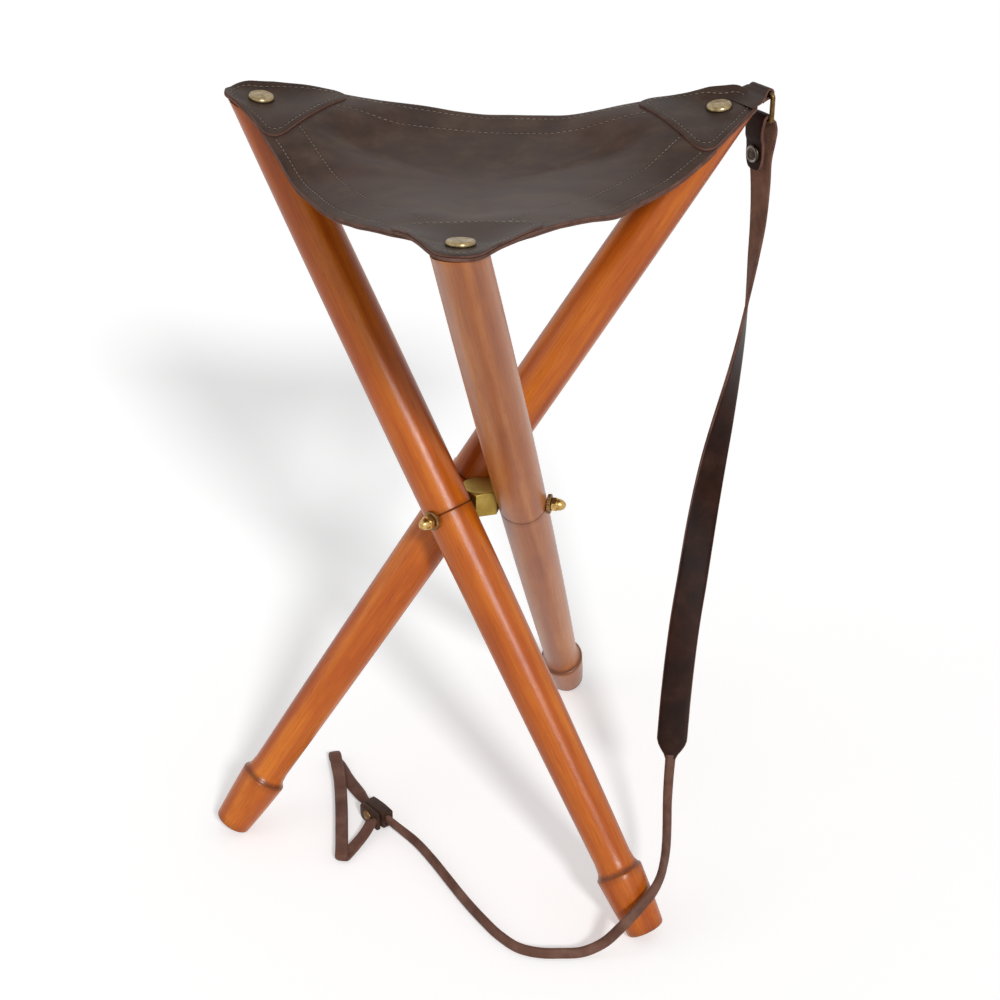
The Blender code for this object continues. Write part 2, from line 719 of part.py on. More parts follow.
def build_tab(pole, leather):
    """Make the leather tongue that lies on a corner and rolls round the ring's upper bar."""
    out, side, centre = tab_frame()
    base = leg_end(0)
    lying = leather_stack() + 2 * GAP + TAB_THICK / 2
    slope = corner_shape()[1]
    path = []
    for step in range(5):
        reach = TAB_START + (TIP_REACH - TAB_START) * step / 4
        path.append((reach, lying + slope * reach))
    roll = RING_WIRE + GAP + TAB_THICK / 2
    roll_out = TIP_REACH + ROLL_BEYOND
    roll_up = centre.z - base.z
    bend = [(roll_out + roll * math.cos(a), roll_up + roll * math.sin(a))
            for a in (math.radians(angle) for angle in (140, 105, 70, 35, 0, -35, -70, -105))]
    path.append(((path[-1][0] + bend[0][0]) / 2, (path[-1][1] + bend[0][1]) / 2))
    path += bend
    path += [(roll_out - roll * a, roll_up - roll * b) for a, b in ((0.85, 1.2), (1.5, 1.45), (2.05, 1.75))]
    places = [base + out * s + UP * z for s, z in path]
    rings = []
    for place, direction in zip(places, tangents(places)):
        rings.append(ribbon_ring(place, side, side.cross(direction), TAB_WIDTH, TAB_THICK))
    make_object("ring_tab", loft(rings), leather, pole, Matrix.Translation(-pole.location))


def build_ring(holder, brass):
    """Bend the wire ring with straight bars for the tab and the strap."""
    _, side, centre = tab_frame()
    curve = bpy.data.curves.new("strap_ring", "CURVE")
    curve.dimensions = "3D"
    curve.bevel_depth = RING_WIRE
    curve.bevel_resolution = 2
    spline = curve.splines.new("POLY")
    half_w = RING_WIDTH / 2 - RING_CORNER
    half_h = RING_HEIGHT / 2 - RING_CORNER
    points = []
    for quarter, (cx, cz) in enumerate(((half_w, half_h), (-half_w, half_h), (-half_w, -half_h), (half_w, -half_h))):
        for step in range(5):
            a = math.radians(90 * quarter + 90 * step / 4)
            points.append(side * (cx + RING_CORNER * math.cos(a)) + UP * (cz + RING_CORNER * math.sin(a) - RING_HEIGHT / 2))
    spline.points.add(len(points) - 1)
    for point, place in zip(spline.points, points):
        point.co = (*place, 1.0)
    spline.use_cyclic_u = True
    curve.materials.append(brass)
    ring = bpy.data.objects.new("strap_ring", curve)
    bpy.context.collection.objects.link(ring)
    ring.parent = holder


def strap_stations():
    """Return (place, width direction, width) along the strap from its flap over the ring to its shoulder."""
    out, side, roll = tab_frame()
    bar = roll - UP * RING_HEIGHT
    turn = RING_WIRE + GAP + STRAP_THICK / 2
    near = STRAP_THICK / 2 + GAP
    stations = []
    for drop, width in ((0.0, 0.010), (0.0022, 0.0166), (0.0050, 0.0208), (0.0085, 0.0238), (0.0125, STRAP_WIDTH)):
        stations.append((bar - out * near - UP * (FLAP_LENGTH - drop), side, width))
    for offset, drop in ((near, 0.029), (0.0025, 0.0225), (0.0039, 0.015), (0.0043, 0.009), (0.0040, 0.0035)):
        stations.append((bar - out * offset - UP * drop, side, STRAP_WIDTH))
    for angle in (180, 150, 120, 90, 60, 30, 0):
        a = math.radians(angle)
        stations.append((bar + out * turn * math.cos(a) + UP * turn * math.sin(a), side, STRAP_WIDTH))
    for offset, drop in ((0.0044, 0.005), (0.0046, 0.012), (0.0036, 0.022), (0.0022, 0.034)):
        stations.append((bar + out * offset - UP * drop, side, STRAP_WIDTH))
    points = [Vector(p) for p, _ in STRAP_ROUTE]
    angles = [a for _, a in STRAP_ROUTE]
    for place, k, t in smooth_route(points, 2):
        angle = math.radians(angles[k] + (angles[k + 1] - angles[k]) * t)
        stations.append((place, Vector((math.cos(angle), math.sin(angle), 0)), STRAP_WIDTH))
    end, wide, _ = stations[-1]
    back = (points[-2] - end).normalized()
    del stations[-2:]
    for distance, width in ((0.0060, 0.0242), (0.0032, 0.0215), (0.0012, 0.0172), (0.0, 0.0125)):
        stations.append((end + back * distance, wide, width))
    return stations


def build_strap(holder, leather):
    """Make the flat strap, folded round the ring and twisting as it hangs."""
    _, _, origin = tab_frame()
    stations = strap_stations()
    rings = []
    for (place, wide, width), direction in zip(stations, tangents([s[0] for s in stations])):
        across = square_to(wide, direction)
        rings.append(ribbon_ring(place, across, direction.cross(across), width, STRAP_THICK))
    make_object("carry_strap", loft(rings), leather, holder, Matrix.Translation(-origin))


def build_press_stud(holder, steel):
    """Make the press stud on the flap."""
    out, side, roll = tab_frame()
    face = roll - UP * (RING_HEIGHT + PRESS_DROP) - out * (STRAP_THICK + 2 * GAP)
    r = PRESS_RADIUS
    profile = [(0, 0), (r, 0), (r, 0.0012), (r - 0.0008, 0.0020), (r - 0.0018, 0.0022), (r - 0.0026, 0.0016),
               (r * 0.35, 0.0018), (0, 0.0020)]
    turn = Matrix((side, UP, -out)).transposed().to_4x4()
    place = Matrix.Translation(face - roll) @ turn
    make_object("press_stud", lathe(profile, 28), steel, holder, place)


def keeper_frame():
    """Return the keeper's centre, the thong's direction through it and the way to the loop's inside."""
    along = Vector((math.cos(KEEPER_ANGLE), math.sin(KEEPER_ANGLE), 0))
    inside = UP.cross(along)
    return Vector(KEEPER_PLACE), along, inside


def strand_places():
    """Return the middle of the keeper's channel and the middle of the end lying against its face."""
    centre, _, inside = keeper_frame()
    beside = THONG_THICK / 2 + GAP + KEEPER_WALL + GAP + THONG_THICK / 2
    return centre, centre + inside * beside


def build_thong(holder, leather):
    """Make the thong from the strap's shoulder over the floor into the keeper."""
    _, _, origin = tab_frame()
    _, along, inside = keeper_frame()
    channel, _ = strand_places()
    points = [Vector(p) for p, _ in THONG_ROUTE]
    faces = [Vector(f) for _, f in THONG_ROUTE]
    points += [channel - along * 0.0150, channel - along * 0.0004]
    faces += [inside, inside]
    route = smooth_route(points, 2)
    places = [r[0] for r in route]
    rings = []
    for (place, k, t), direction in zip(route, tangents(places)):
        face = square_to(faces[k].normalized().lerp(faces[k + 1].normalized(), t), direction)
        rings.append(ribbon_ring(place, face.cross(direction), face, THONG_WIDTH, THONG_THICK))
    make_object("thong", loft(rings), leather, holder, Matrix.Translation(-origin))


def build_loop(holder, leather):
    """Make the end loop, from the keeper round and back into it."""
    _, _, origin = tab_frame()
    _, along, _ = keeper_frame()
    first, second = strand_places()
    points = [first + along * 0.0004, first + along * 0.0150] + [Vector(p) for p, _ in LOOP_ROUTE]
    leans = [0.0, 0.0] + [lean for _, lean in LOOP_ROUTE]
    points += [second - along * 0.0075, second + along * 0.0010, second + along * 0.0100]
    leans += [0.0, 0.0, 0.0]
    route = smooth_route(points, 2)
    places = [r[0] for r in route]
    rings = []
    for (place, k, t), direction in zip(route, tangents(places)):
        lean = leans[k] + (leans[k + 1] - leans[k]) * t
        inside = UP.cross(direction).normalized()
        face = square_to(inside * math.cos(lean) + UP * math.sin(lean), direction)
        rings.append(ribbon_ring(place, face.cross(direction), face, THONG_WIDTH, THONG_THICK))
    make_object("end_loop", loft(rings), leather, holder, Matrix.Translation(-origin))


def build_keeper(holder, leather, brass):
    """Make the sleeve round the two strands and the rivet on it."""
    _, _, origin = tab_frame()
    centre, along, inside = keeper_frame()
    cavity_w = THONG_THICK + 2 * GAP
    cavity_h = THONG_WIDTH + 2 * GAP
    outer_w = cavity_w + 2 * KEEPER_WALL
    outer_h = cavity_h + 2 * KEEPER_WALL
    soft = 0.0012

    def slice_at(shift, width, height, cut):
        """Return an eight-sided slice of the sleeve."""
        w = width / 2
        h = height / 2
        corners = ((w - cut, h), (w, h - cut), (w, cut - h), (w - cut, -h),
                   (cut - w, -h), (-w, cut - h), (-w, h - cut), (cut - w, h))
        return [centre + along * shift + inside * a + UP * b for a, b in corners]

    half = KEEPER_LENGTH / 2
    rings = [slice_at(-half, cavity_w, cavity_h, 0.0002), slice_at(-half, outer_w, outer_h, soft),
             slice_at(half, outer_w, outer_h, soft), slice_at(half, cavity_w, cavity_h, 0.0002)]
    make_object("keeper", loft(rings, closed=True), leather, holder, Matrix.Translation(-origin))
    r = RIVET_RADIUS
    profile = [(0, 0), (r, 0), (r, 0.0005), (r * 0.85, 0.0012), (r * 0.5, 0.0017), (0, 0.0019)]
    face = strand_places()[1] + inside * (THONG_THICK / 2 + GAP) + along * 0.0045
    turn = Matrix((along, UP, along.cross(UP))).transposed().to_4x4()
    if along.cross(UP).dot(inside) < 0:
        turn = Matrix((along, -UP, along.cross(-UP))).transposed().to_4x4()
    make_object("keeper_rivet", lathe(profile, 24), brass, holder, Matrix.Translation(face - origin) @ turn)


def recentre(root, skip):
    """Move the root so the stool, cord pieces left out, stands centred over the origin."""
    bpy.context.view_layer.update()
    corners = []
    for obj in bpy.data.objects:
        if obj.type == "MESH" and not obj.hide_render and obj.name not in skip:
            corners += [obj.matrix_world @ v.co for v in obj.data.vertices]
    middle_x = (min(c.x for c in corners) + max(c.x for c in corners)) / 2
    middle_y = (min(c.y for c in corners) + max(c.y for c in corners)) / 2
    root.location = (-middle_x, -middle_y, 0)
    bpy.context.view_layer.update()


def main():
    """Build the whole stool."""
    clear_scene()
    wood = make_material("turned_wood", (0.42, 0.14, 0.03), 0.35)
    brass = make_material("brass", (0.66, 0.46, 0.16), 0.30, 1.0)
    steel = make_material("dark_steel", (0.10, 0.08, 0.07), 0.40, 1.0)
    leather = make_material("seat_leather", (0.055, 0.032, 0.026), 0.45)
    patch = make_material("patch_leather", (0.050, 0.030, 0.025), 0.42)
    band = make_material("band_leather", (0.065, 0.036, 0.028), 0.55)
    strap = make_material("strap_leather", (0.075, 0.030, 0.022), 0.40)
    root = make_empty("stool", None, Matrix.Identity(4))
    pivots = [make_empty(f"leg_{k + 1}_pivot", root, pivot_matrix(k)) for k in range(3)]
    poles = []
    for k in range(3):
        pole = bolt_direction(k) * PIVOT_RADIUS + UP * (PIVOT_Z - FOLD_LIFT / 2)
        pole += lean_direction(k) * FOLD_LIFT / (2 * math.tan(LEG_TILT / 2))
        poles.append(make_empty(f"seat_corner_{k + 1}_pole", root, Matrix.Translation(pole)))
    for k in range(3):
        build_leg(k, pivots[k], wood)
        build_pivot_hardware(k, root, brass, steel)
        build_fixings(k, pivots[k], brass, steel)
    build_hub(root, brass)
    build_seat(root, poles, leather, patch, band)
    build_tab(poles[0], strap)
    holder = make_empty("strap_hang", root, Matrix.Translation(tab_frame()[2]))
    build_ring(holder, brass)
    build_strap(holder, strap)
    build_press_stud(holder, steel)
    build_thong(holder, strap)
    build_loop(holder, strap)
    build_keeper(holder, strap, brass)
    recentre(root, {"carry_strap", "press_stud", "thong", "end_loop", "keeper", "keeper_rivet", "strap_ring"})
    for item in pivots + poles + [holder, root]:
        print("place", item.name, [round(v, 6) for v in item.matrix_world.translation])
    print("seat level", round(SEAT_Z, 6), "fold", round(math.degrees(LEG_TILT), 3))


if __name__ == "__main__":
    main()
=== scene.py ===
"""Dressed folding stool: turned wooden legs on a brass hub, a leather sling seat and a carrying strap."""

import logging
import math
from bisect import bisect_right
from dataclasses import dataclass, field
from enum import Enum
from typing import Callable, Optional, Sequence

import bmesh
import bpy
from bmesh.types import BMEdge, BMesh, BMFace, BMVert
from mathutils import Matrix, Vector, noise
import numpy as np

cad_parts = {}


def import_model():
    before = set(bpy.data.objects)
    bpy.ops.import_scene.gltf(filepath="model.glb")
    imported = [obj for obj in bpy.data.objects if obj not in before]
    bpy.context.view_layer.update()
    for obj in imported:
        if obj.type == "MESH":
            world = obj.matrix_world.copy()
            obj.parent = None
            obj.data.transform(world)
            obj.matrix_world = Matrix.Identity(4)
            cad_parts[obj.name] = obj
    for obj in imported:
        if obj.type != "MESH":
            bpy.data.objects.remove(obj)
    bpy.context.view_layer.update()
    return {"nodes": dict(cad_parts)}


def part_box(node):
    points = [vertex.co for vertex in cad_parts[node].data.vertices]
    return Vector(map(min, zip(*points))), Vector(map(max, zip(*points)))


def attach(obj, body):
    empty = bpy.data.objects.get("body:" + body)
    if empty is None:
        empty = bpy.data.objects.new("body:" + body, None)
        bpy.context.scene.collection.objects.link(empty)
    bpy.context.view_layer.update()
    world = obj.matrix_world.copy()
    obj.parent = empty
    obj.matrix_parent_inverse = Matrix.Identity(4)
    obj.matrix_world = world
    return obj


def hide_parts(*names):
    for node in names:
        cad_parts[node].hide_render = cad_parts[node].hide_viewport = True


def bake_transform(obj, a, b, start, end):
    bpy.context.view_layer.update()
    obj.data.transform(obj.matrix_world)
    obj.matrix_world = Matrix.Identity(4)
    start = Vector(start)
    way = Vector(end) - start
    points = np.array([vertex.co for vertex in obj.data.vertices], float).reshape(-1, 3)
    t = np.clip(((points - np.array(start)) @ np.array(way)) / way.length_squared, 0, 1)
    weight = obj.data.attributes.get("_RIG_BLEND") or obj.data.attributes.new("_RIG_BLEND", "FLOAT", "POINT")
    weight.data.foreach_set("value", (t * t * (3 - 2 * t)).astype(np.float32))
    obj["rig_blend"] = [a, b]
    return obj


log = logging.getLogger("stool")
UP = Vector((0, 0, 1))
GAP = 0.0003
LAY = "lay"
SHADE = "shade"
RIM = "rim"
MARK = "mark"
ROW = "row"


class Slot(Enum):
    """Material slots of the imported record."""

    WOOD = "turned_wood"
    BRASS = "brass"
    STEEL = "dark_steel"
    SEAT = "seat_leather"
    PATCH = "patch_leather"
    BAND = "band_leather"
    STRAP = "strap_leather"


class Face(Enum):
    """Sides of a piece of leather, in the order of its materials."""

    GRAIN = 0
    FLESH = 1
    EDGE = 2


def linear(colour: tuple[int, int, int]) -> tuple[float, float, float, float]:
    """Turn a written colour of 0 to 255 into a shader's linear values."""
    parts = [c / 255 for c in colour]
    return (*(c / 12.92 if c <= 0.04045 else ((c + 0.055) / 1.055) ** 2.4 for c in parts), 1.0)


def ease(t: float) -> float:
    """Ease from 0 to 1."""
    t = min(1.0, max(0.0, t))
    return t * t * (3 - 2 * t)


def square_to(vector: Vector, axis: Vector) -> Vector:
    """Return the unit part of a vector square to an axis."""
    return (vector - axis * vector.dot(axis)).normalized()


class NodeDesk:
    """Lays out the nodes of one material."""

    def __init__(self, name: str) -> None:
        """Start a material with its Principled shader.

        Args:
            name: Name of the material.
        """
        self.material = bpy.data.materials.new(name)
        self.material.use_nodes = True
        self.tree = self.material.node_tree
        self.shader = self.tree.nodes["Principled BSDF"]

    def feed(self, socket: bpy.types.NodeSocket, value: object) -> None:
        """Link an output to a socket, or set the socket's own value."""
        if isinstance(value, bpy.types.NodeSocket):
            self.tree.links.new(value, socket)
        else:
            socket.default_value = value

    def fixed(self, **values: object) -> None:
        """Set the shader's constant sockets, named with underscores for spaces."""
        for name, value in values.items():
            self.shader.inputs[name.replace("_", " ")].default_value = value

    def attribute(self, name: str) -> bpy.types.Node:
        """Add a node that reads one of the piece's own attributes."""
        node = self.tree.nodes.new("ShaderNodeAttribute")
        node.attribute_name = name
        return node

    def lay(self, own: bool = True) -> bpy.types.NodeSocket:
        """Return the pattern coordinates in metres, the piece's own or the object's."""
        if own:
            return self.attribute(LAY).outputs["Vector"]
        return self.tree.nodes.new("ShaderNodeTexCoord").outputs["Object"]

    def stretch(self, vector: object, scale: Sequence[float], turn: Sequence[float] = (0, 0, 0)) -> bpy.types.NodeSocket:
        """Scale and turn pattern coordinates.

        Args:
            vector: Coordinates to change.
            scale: Scale on the three axes.
            turn: Turn about the three axes in degrees.

        Returns:
            The changed coordinates.
        """
        node = self.tree.nodes.new("ShaderNodeMapping")
        self.feed(node.inputs["Vector"], vector)
        node.inputs["Scale"].default_value = scale
        node.inputs["Rotation"].default_value = [math.radians(a) for a in turn]
        return node.outputs["Vector"]

    def noise(self, vector: object, scale: float, detail: float = 3.0, rough: float = 0.55) -> bpy.types.NodeSocket:
        """Add a noise and return its value."""
        node = self.tree.nodes.new("ShaderNodeTexNoise")
        self.feed(node.inputs["Vector"], vector)
        node.inputs["Scale"].default_value = scale
        node.inputs["Detail"].default_value = detail
        node.inputs["Roughness"].default_value = rough
        return node.outputs[0]

    def cells(self, vector: object, scale: float, feature: str = "F1") -> bpy.types.NodeSocket:
        """Add a cell pattern and return the distance in it."""
        node = self.tree.nodes.new("ShaderNodeTexVoronoi")
        node.feature = feature
        self.feed(node.inputs["Vector"], vector)
        node.inputs["Scale"].default_value = scale
        return node.outputs["Distance"]

    def bands(self, vector: object, scale: float, wander: float) -> bpy.types.NodeSocket:
        """Add wandering bands and return their value."""
        node = self.tree.nodes.new("ShaderNodeTexWave")
        node.wave_type = "BANDS"
        node.bands_direction = "X"
        self.feed(node.inputs["Vector"], vector)
        node.inputs["Scale"].default_value = scale
        node.inputs["Distortion"].default_value = wander
        node.inputs["Detail"].default_value = 3.0
        node.inputs["Detail Scale"].default_value = 1.3
        return node.outputs[1]

    def ramp(self, value: object, stops: Sequence[tuple[float, tuple]]) -> bpy.types.NodeSocket:
        """Turn a value into colour.

        Args:
            value: Value from 0 to 1.
            stops: Places on the ramp with their linear colours.

        Returns:
            The colour.
        """
        node = self.tree.nodes.new("ShaderNodeValToRGB")
        self.feed(node.inputs["Fac"], value)
        marks = node.color_ramp.elements
        while len(marks) < len(stops):
            marks.new(0.5)
        for mark, (place, colour) in zip(marks, stops):
            mark.position = place
            mark.color = colour
        return node.outputs["Color"]

    def window(self, value: object, low: float, high: float, start: float = 0.0, end: float = 1.0) -> bpy.types.NodeSocket:
        """Map a value's range onto another range, clamped."""
        node = self.tree.nodes.new("ShaderNodeMapRange")
        self.feed(node.inputs["Value"], value)
        node.inputs["From Min"].default_value = low
        node.inputs["From Max"].default_value = high
        node.inputs["To Min"].default_value = start
        node.inputs["To Max"].default_value = end
        return node.outputs["Result"]

    def mix(self, share: object, a: object, b: object) -> bpy.types.NodeSocket:
        """Mix two colours."""
        node = self.tree.nodes.new("ShaderNodeMix")
        node.data_type = "RGBA"
        self.feed(node.inputs[0], share)
        self.feed(node.inputs[6], a)
        self.feed(node.inputs[7], b)
        return node.outputs[2]

    def maths(self, kind: str, a: object, b: object = 0.0, c: object = 0.0) -> bpy.types.NodeSocket:
        """Work on values."""
        node = self.tree.nodes.new("ShaderNodeMath")
        node.operation = kind
        for socket, value in zip(node.inputs, (a, b, c)):
            self.feed(socket, value)
        return node.outputs[0]

    def blend(self, *parts: tuple[object, float]) -> bpy.types.NodeSocket:
        """Add up values, each with its weight."""
        total: object = 0.0
        for value, weight in parts:
            total = self.maths("MULTIPLY_ADD", value, weight, total)
        return total

    def bump(self, height: object, strength: float, depth: float, normal: object = None) -> bpy.types.NodeSocket:
        """Raise a surface by a height map of the given depth in metres."""
        node = self.tree.nodes.new("ShaderNodeBump")
        node.inputs["Strength"].default_value = strength
        node.inputs["Distance"].default_value = depth
        self.feed(node.inputs["Height"], height)
        if normal is not None:
            self.feed(node.inputs["Normal"], normal)
        return node.outputs["Normal"]

    def close(self, colour: object, rough: object, normal: object) -> bpy.types.Material:
        """Feed the shader and return the material."""
        self.feed(self.shader.inputs["Base Color"], colour)
        self.feed(self.shader.inputs["Roughness"], rough)
        self.feed(self.shader.inputs["Normal"], normal)
        return self.material


@dataclass(frozen=True)
class WoodFinish:
    """Varnished hardwood with its grain along the leg."""

    name: str
    dark: tuple[int, int, int] = (150, 64, 10)
    middle: tuple[int, int, int] = (179, 86, 15)
    pale: tuple[int, int, int] = (205, 114, 29)
    red: tuple[int, int, int] = (158, 60, 14)
    pore: tuple[int, int, int] = (104, 42, 14)
    painted_shade: tuple[int, int, int] = (46, 18, 9)

    def make(self) -> bpy.types.Material:
        """Return the material."""
        desk = NodeDesk(self.name)
        lay = desk.lay()
        rings = desk.bands(desk.stretch(lay, (1.0, 0.5, 0.06), (0, 0, 25)), 22.0, 6.5)
        streaks = desk.noise(desk.stretch(lay, (46, 46, 3.0)), 1.0, 4.0, 0.55)
        fibres = desk.noise(desk.stretch(lay, (800, 800, 26)), 1.0, 3.0, 0.6)
        dashes = desk.noise(desk.stretch(lay, (1100, 1100, 70)), 1.0, 2.0, 0.5)
        drift = desk.noise(desk.stretch(lay, (24, 24, 13)), 1.0, 3.0, 0.55)
        speckle = desk.noise(lay, 1500.0, 2.0, 0.6)
        tone = desk.blend((streaks, 0.42), (rings, 0.12), (drift, 0.22), (fibres, 0.24))
        colour = desk.ramp(tone, ((0.34, linear(self.dark)), (0.48, linear(self.middle)), (0.62, linear(self.pale))))
        stain = desk.noise(desk.stretch(lay, (34, 34, 9)), 1.0, 3.0, 0.6)
        colour = desk.mix(desk.window(stain, 0.56, 0.78, 0.0, 0.6), colour, linear(self.red))
        pores = desk.window(dashes, 0.36, 0.27, 0.0, 0.45)
        colour = desk.mix(pores, colour, linear(self.pore))
        # Painted shade from the shade attribute: darker in the scribed groove, in the cove under the foot's collar and
        # towards the foot's end
        colour = desk.mix(desk.attribute(SHADE).outputs["Fac"], colour, linear(self.painted_shade))
        rough = desk.window(fibres, 0.2, 0.8, 0.34, 0.46)
        grain = desk.blend((fibres, 0.4), (pores, -0.6), (speckle, 0.6))
        normal = desk.bump(grain, 0.36, 0.0004)
        desk.feed(desk.shader.inputs["Coat Normal"], desk.bump(speckle, 0.30, 0.0004))
        desk.fixed(Coat_Weight=0.48, Coat_Roughness=0.20, Specular_IOR_Level=0.12)
        return desk.close(colour, rough, normal)


@dataclass(frozen=True)
class LeatherFinish:
    """Smooth dyed leather with a fine grain, mottling and light wear."""

    name: str
    deep: tuple[int, int, int]
    base: tuple[int, int, int]
    worn: tuple[int, int, int]
    warm: tuple[int, int, int]
    grain: float = 0.0011
    rough: float = 0.50
    sheen: float = 0.02
    gloss: float = 0.13
    rows: tuple[float, ...] = ()

    def make(self) -> bpy.types.Material:
        """Return the material."""
        desk = NodeDesk(self.name)
        lay = desk.lay()
        mottle = desk.noise(lay, 46.0, 5.0, 0.62)
        patches = desk.noise(lay, 13.0, 3.0, 0.55)
        fine = desk.noise(lay, 1500.0, 2.0, 0.6)
        scuffs = desk.noise(desk.stretch(lay, (26, 240, 120), (0, 0, 38)), 1.0, 4.0, 0.6)
        colour = desk.ramp(mottle, ((0.28, linear(self.deep)), (0.52, linear(self.base)), (0.80, linear(self.worn))))
        colour = desk.mix(desk.window(patches, 0.52, 0.74, 0.0, 0.5), colour, linear(self.warm))
        colour = desk.mix(desk.window(scuffs, 0.66, 0.80, 0.0, 0.35), colour, linear(self.worn))
        pebbles = desk.cells(lay, 1.0 / self.grain)
        height = desk.blend((pebbles, -0.7), (fine, 0.3))
        rough = desk.blend((mottle, 0.16), (fine, 0.06))
        rough = desk.maths("ADD", rough, self.rough - 0.11)
        normal = desk.bump(height, 0.22, self.grain * 0.25)
        # Along the stitch rows the colour goes towards the deep tone: the darker pressed leather together with painted
        # shade in the pressed grooves
        if self.rows:
            rim = desk.attribute(RIM).outputs["Fac"]
            press: object = 0.0
            for row in self.rows:
                apart = desk.maths("ABSOLUTE", desk.maths("SUBTRACT", rim, row))
                press = desk.maths("MAXIMUM", press, desk.window(apart, 0.0002, 0.0016, 1.0, 0.0))
            colour = desk.mix(desk.maths("MULTIPLY", press, 0.45), colour, linear(self.deep))
            normal = desk.bump(press, 0.6, -0.0007, normal)
        desk.fixed(Sheen_Weight=self.sheen, Sheen_Roughness=0.4, Specular_IOR_Level=self.gloss)
        return desk.close(colour, rough, normal)


@dataclass(frozen=True)
class RawFinish:
    """Uncoated leather: the nap of a flesh side, or a cut edge in fine layers."""

    name: str
    deep: tuple[int, int, int]
    pale: tuple[int, int, int]
    nap: float = 0.0009

    def make(self) -> bpy.types.Material:
        """Return the material."""
        desk = NodeDesk(self.name)
        lay = desk.lay()
        slow = desk.noise(lay, 60.0, 4.0, 0.6)
        hairs = desk.noise(lay, 1.0 / self.nap, 4.0, 0.7)
        tone = desk.blend((slow, 0.55), (hairs, 0.45))
        colour = desk.ramp(tone, ((0.34, linear(self.deep)), (0.66, linear(self.pale))))
        normal = desk.bump(hairs, 0.5, self.nap * 0.5)
        rough = desk.window(hairs, 0.2, 0.8, 0.74, 0.94)
        desk.fixed(Sheen_Weight=0.05, Sheen_Roughness=0.5, Specular_IOR_Level=0.10)
        return desk.close(colour, rough, normal)


@dataclass(frozen=True)
class ThreadFinish:
    """Waxed thread."""

    name: str
    deep: tuple[int, int, int] = (78, 66, 57)
    pale: tuple[int, int, int] = (132, 118, 103)

    def make(self) -> bpy.types.Material:
        """Return the material."""
        desk = NodeDesk(self.name)
        lay = desk.lay()
        twist = desk.noise(lay, 1800.0, 2.0, 0.5)
        age = desk.noise(lay, 60.0, 3.0, 0.6)
        tone = desk.blend((twist, 0.4), (age, 0.6))
        colour = desk.ramp(tone, ((0.34, linear(self.deep)), (0.62, linear(self.pale))))
        return desk.close(colour, desk.window(twist, 0.2, 0.8, 0.55, 0.75), desk.bump(twist, 0.4, 0.0002))


@dataclass(frozen=True)
class MetalFinish:
    """Bare metal, dulled and spotted by handling."""

    name: str
    bright: tuple[int, int, int]
    dull: tuple[int, int, int]
    rough: float
    spots: float = 260.0
    own: bool = True

    def make(self) -> bpy.types.Material:
        """Return the material."""
        desk = NodeDesk(self.name)
        lay = desk.lay(self.own)
        cloud = desk.noise(lay, self.spots, 4.0, 0.6)
        specks = desk.noise(lay, 1400.0, 3.0, 0.6)
        marks = desk.noise(desk.stretch(lay, (2200, 160, 900), (20, 35, 50)), 1.0, 2.0, 0.5)
        tone = desk.blend((cloud, 0.7), (specks, 0.3))
        colour = desk.ramp(tone, ((0.36, linear(self.dull)), (0.60, linear(self.bright))))
        rough = desk.window(tone, 0.35, 0.65, self.rough + 0.16, self.rough)
        normal = desk.bump(desk.blend((marks, 0.6), (specks, 0.4)), 0.12, 0.00015)
        desk.fixed(Metallic=1.0)
        return desk.close(colour, rough, normal)


class Finishes:
    """Every finish of the stool, made once."""

    def __init__(self) -> None:
        """Make the materials."""
        self.woods = [WoodFinish("wood_1").make(), WoodFinish("wood_2").make(),
                      # The third leg's wood is a paler, pinker copy of the same wood: painted reflection of the pale
                      # surroundings on the front leg
                      WoodFinish("wood_3_painted_reflection", dark=(142, 73, 33), middle=(166, 93, 42), pale=(188, 118, 63),
                                 red=(150, 78, 44), pore=(108, 58, 32)).make()]
        rows = (0.0065, 0.0290)
        self.seat = LeatherFinish("seat_grain", (48, 33, 27), (64, 46, 37), (82, 66, 55), (74, 48, 38),
                                  rows=rows).make()
        self.patch = LeatherFinish("patch_grain", (42, 29, 24), (58, 43, 35), (78, 64, 54), (64, 44, 36),
                                   rows=(0.0048,)).make()
        self.tab = LeatherFinish("tab_grain", (40, 28, 23), (55, 41, 34), (76, 60, 52), (60, 42, 34)).make()
        self.strap = LeatherFinish("strap_grain", (24, 13, 10), (40, 22, 16), (60, 37, 29), (62, 27, 17),
                                   grain=0.0010, rough=0.44, gloss=0.07).make()
        self.thong = LeatherFinish("thong_grain", (76, 48, 39), (104, 72, 60), (132, 98, 84), (112, 66, 50),
                                   grain=0.0013, rough=0.52).make()
        self.keeper = LeatherFinish("keeper_grain", (50, 33, 26), (70, 48, 38), (96, 72, 60), (78, 46, 34),
                                    grain=0.0011, rough=0.48).make()
        self.flesh = RawFinish("flesh_side", (100, 67, 53), (142, 104, 84)).make()
        self.edge = RawFinish("cut_edge", (72, 46, 38), (124, 90, 78), nap=0.0006).make()
        self.thread = ThreadFinish("waxed_thread").make()
        self.hub = MetalFinish("satin_brass", (182, 154, 80), (160, 132, 64), 0.36, 90.0).make()
        self.brass = MetalFinish("bright_brass", (168, 148, 110), (122, 104, 74), 0.22).make()
        self.ring = MetalFinish("ring_brass", (122, 96, 56), (74, 56, 34), 0.28).make()
        self.nut = MetalFinish("nut_brass", (216, 182, 112), (156, 122, 70), 0.20).make()
        self.bronze = MetalFinish("browned_steel", (160, 124, 80), (106, 80, 50), 0.38).make()
        self.dark = MetalFinish("blackened_steel", (82, 72, 66), (42, 36, 32), 0.32).make()
        self.shank = MetalFinish("plain_steel", (150, 142, 132), (90, 82, 74), 0.32, own=False).make()


def fresh() -> BMesh:
    """Return an empty mesh with the layers that pieces use."""
    bm = bmesh.new()
    bm.verts.layers.int.new(MARK)
    bm.verts.layers.int.new(ROW)
    bm.verts.layers.float_vector.new(LAY)
    bm.verts.layers.float.new(SHADE)
    bm.verts.layers.float.new(RIM)
    return bm


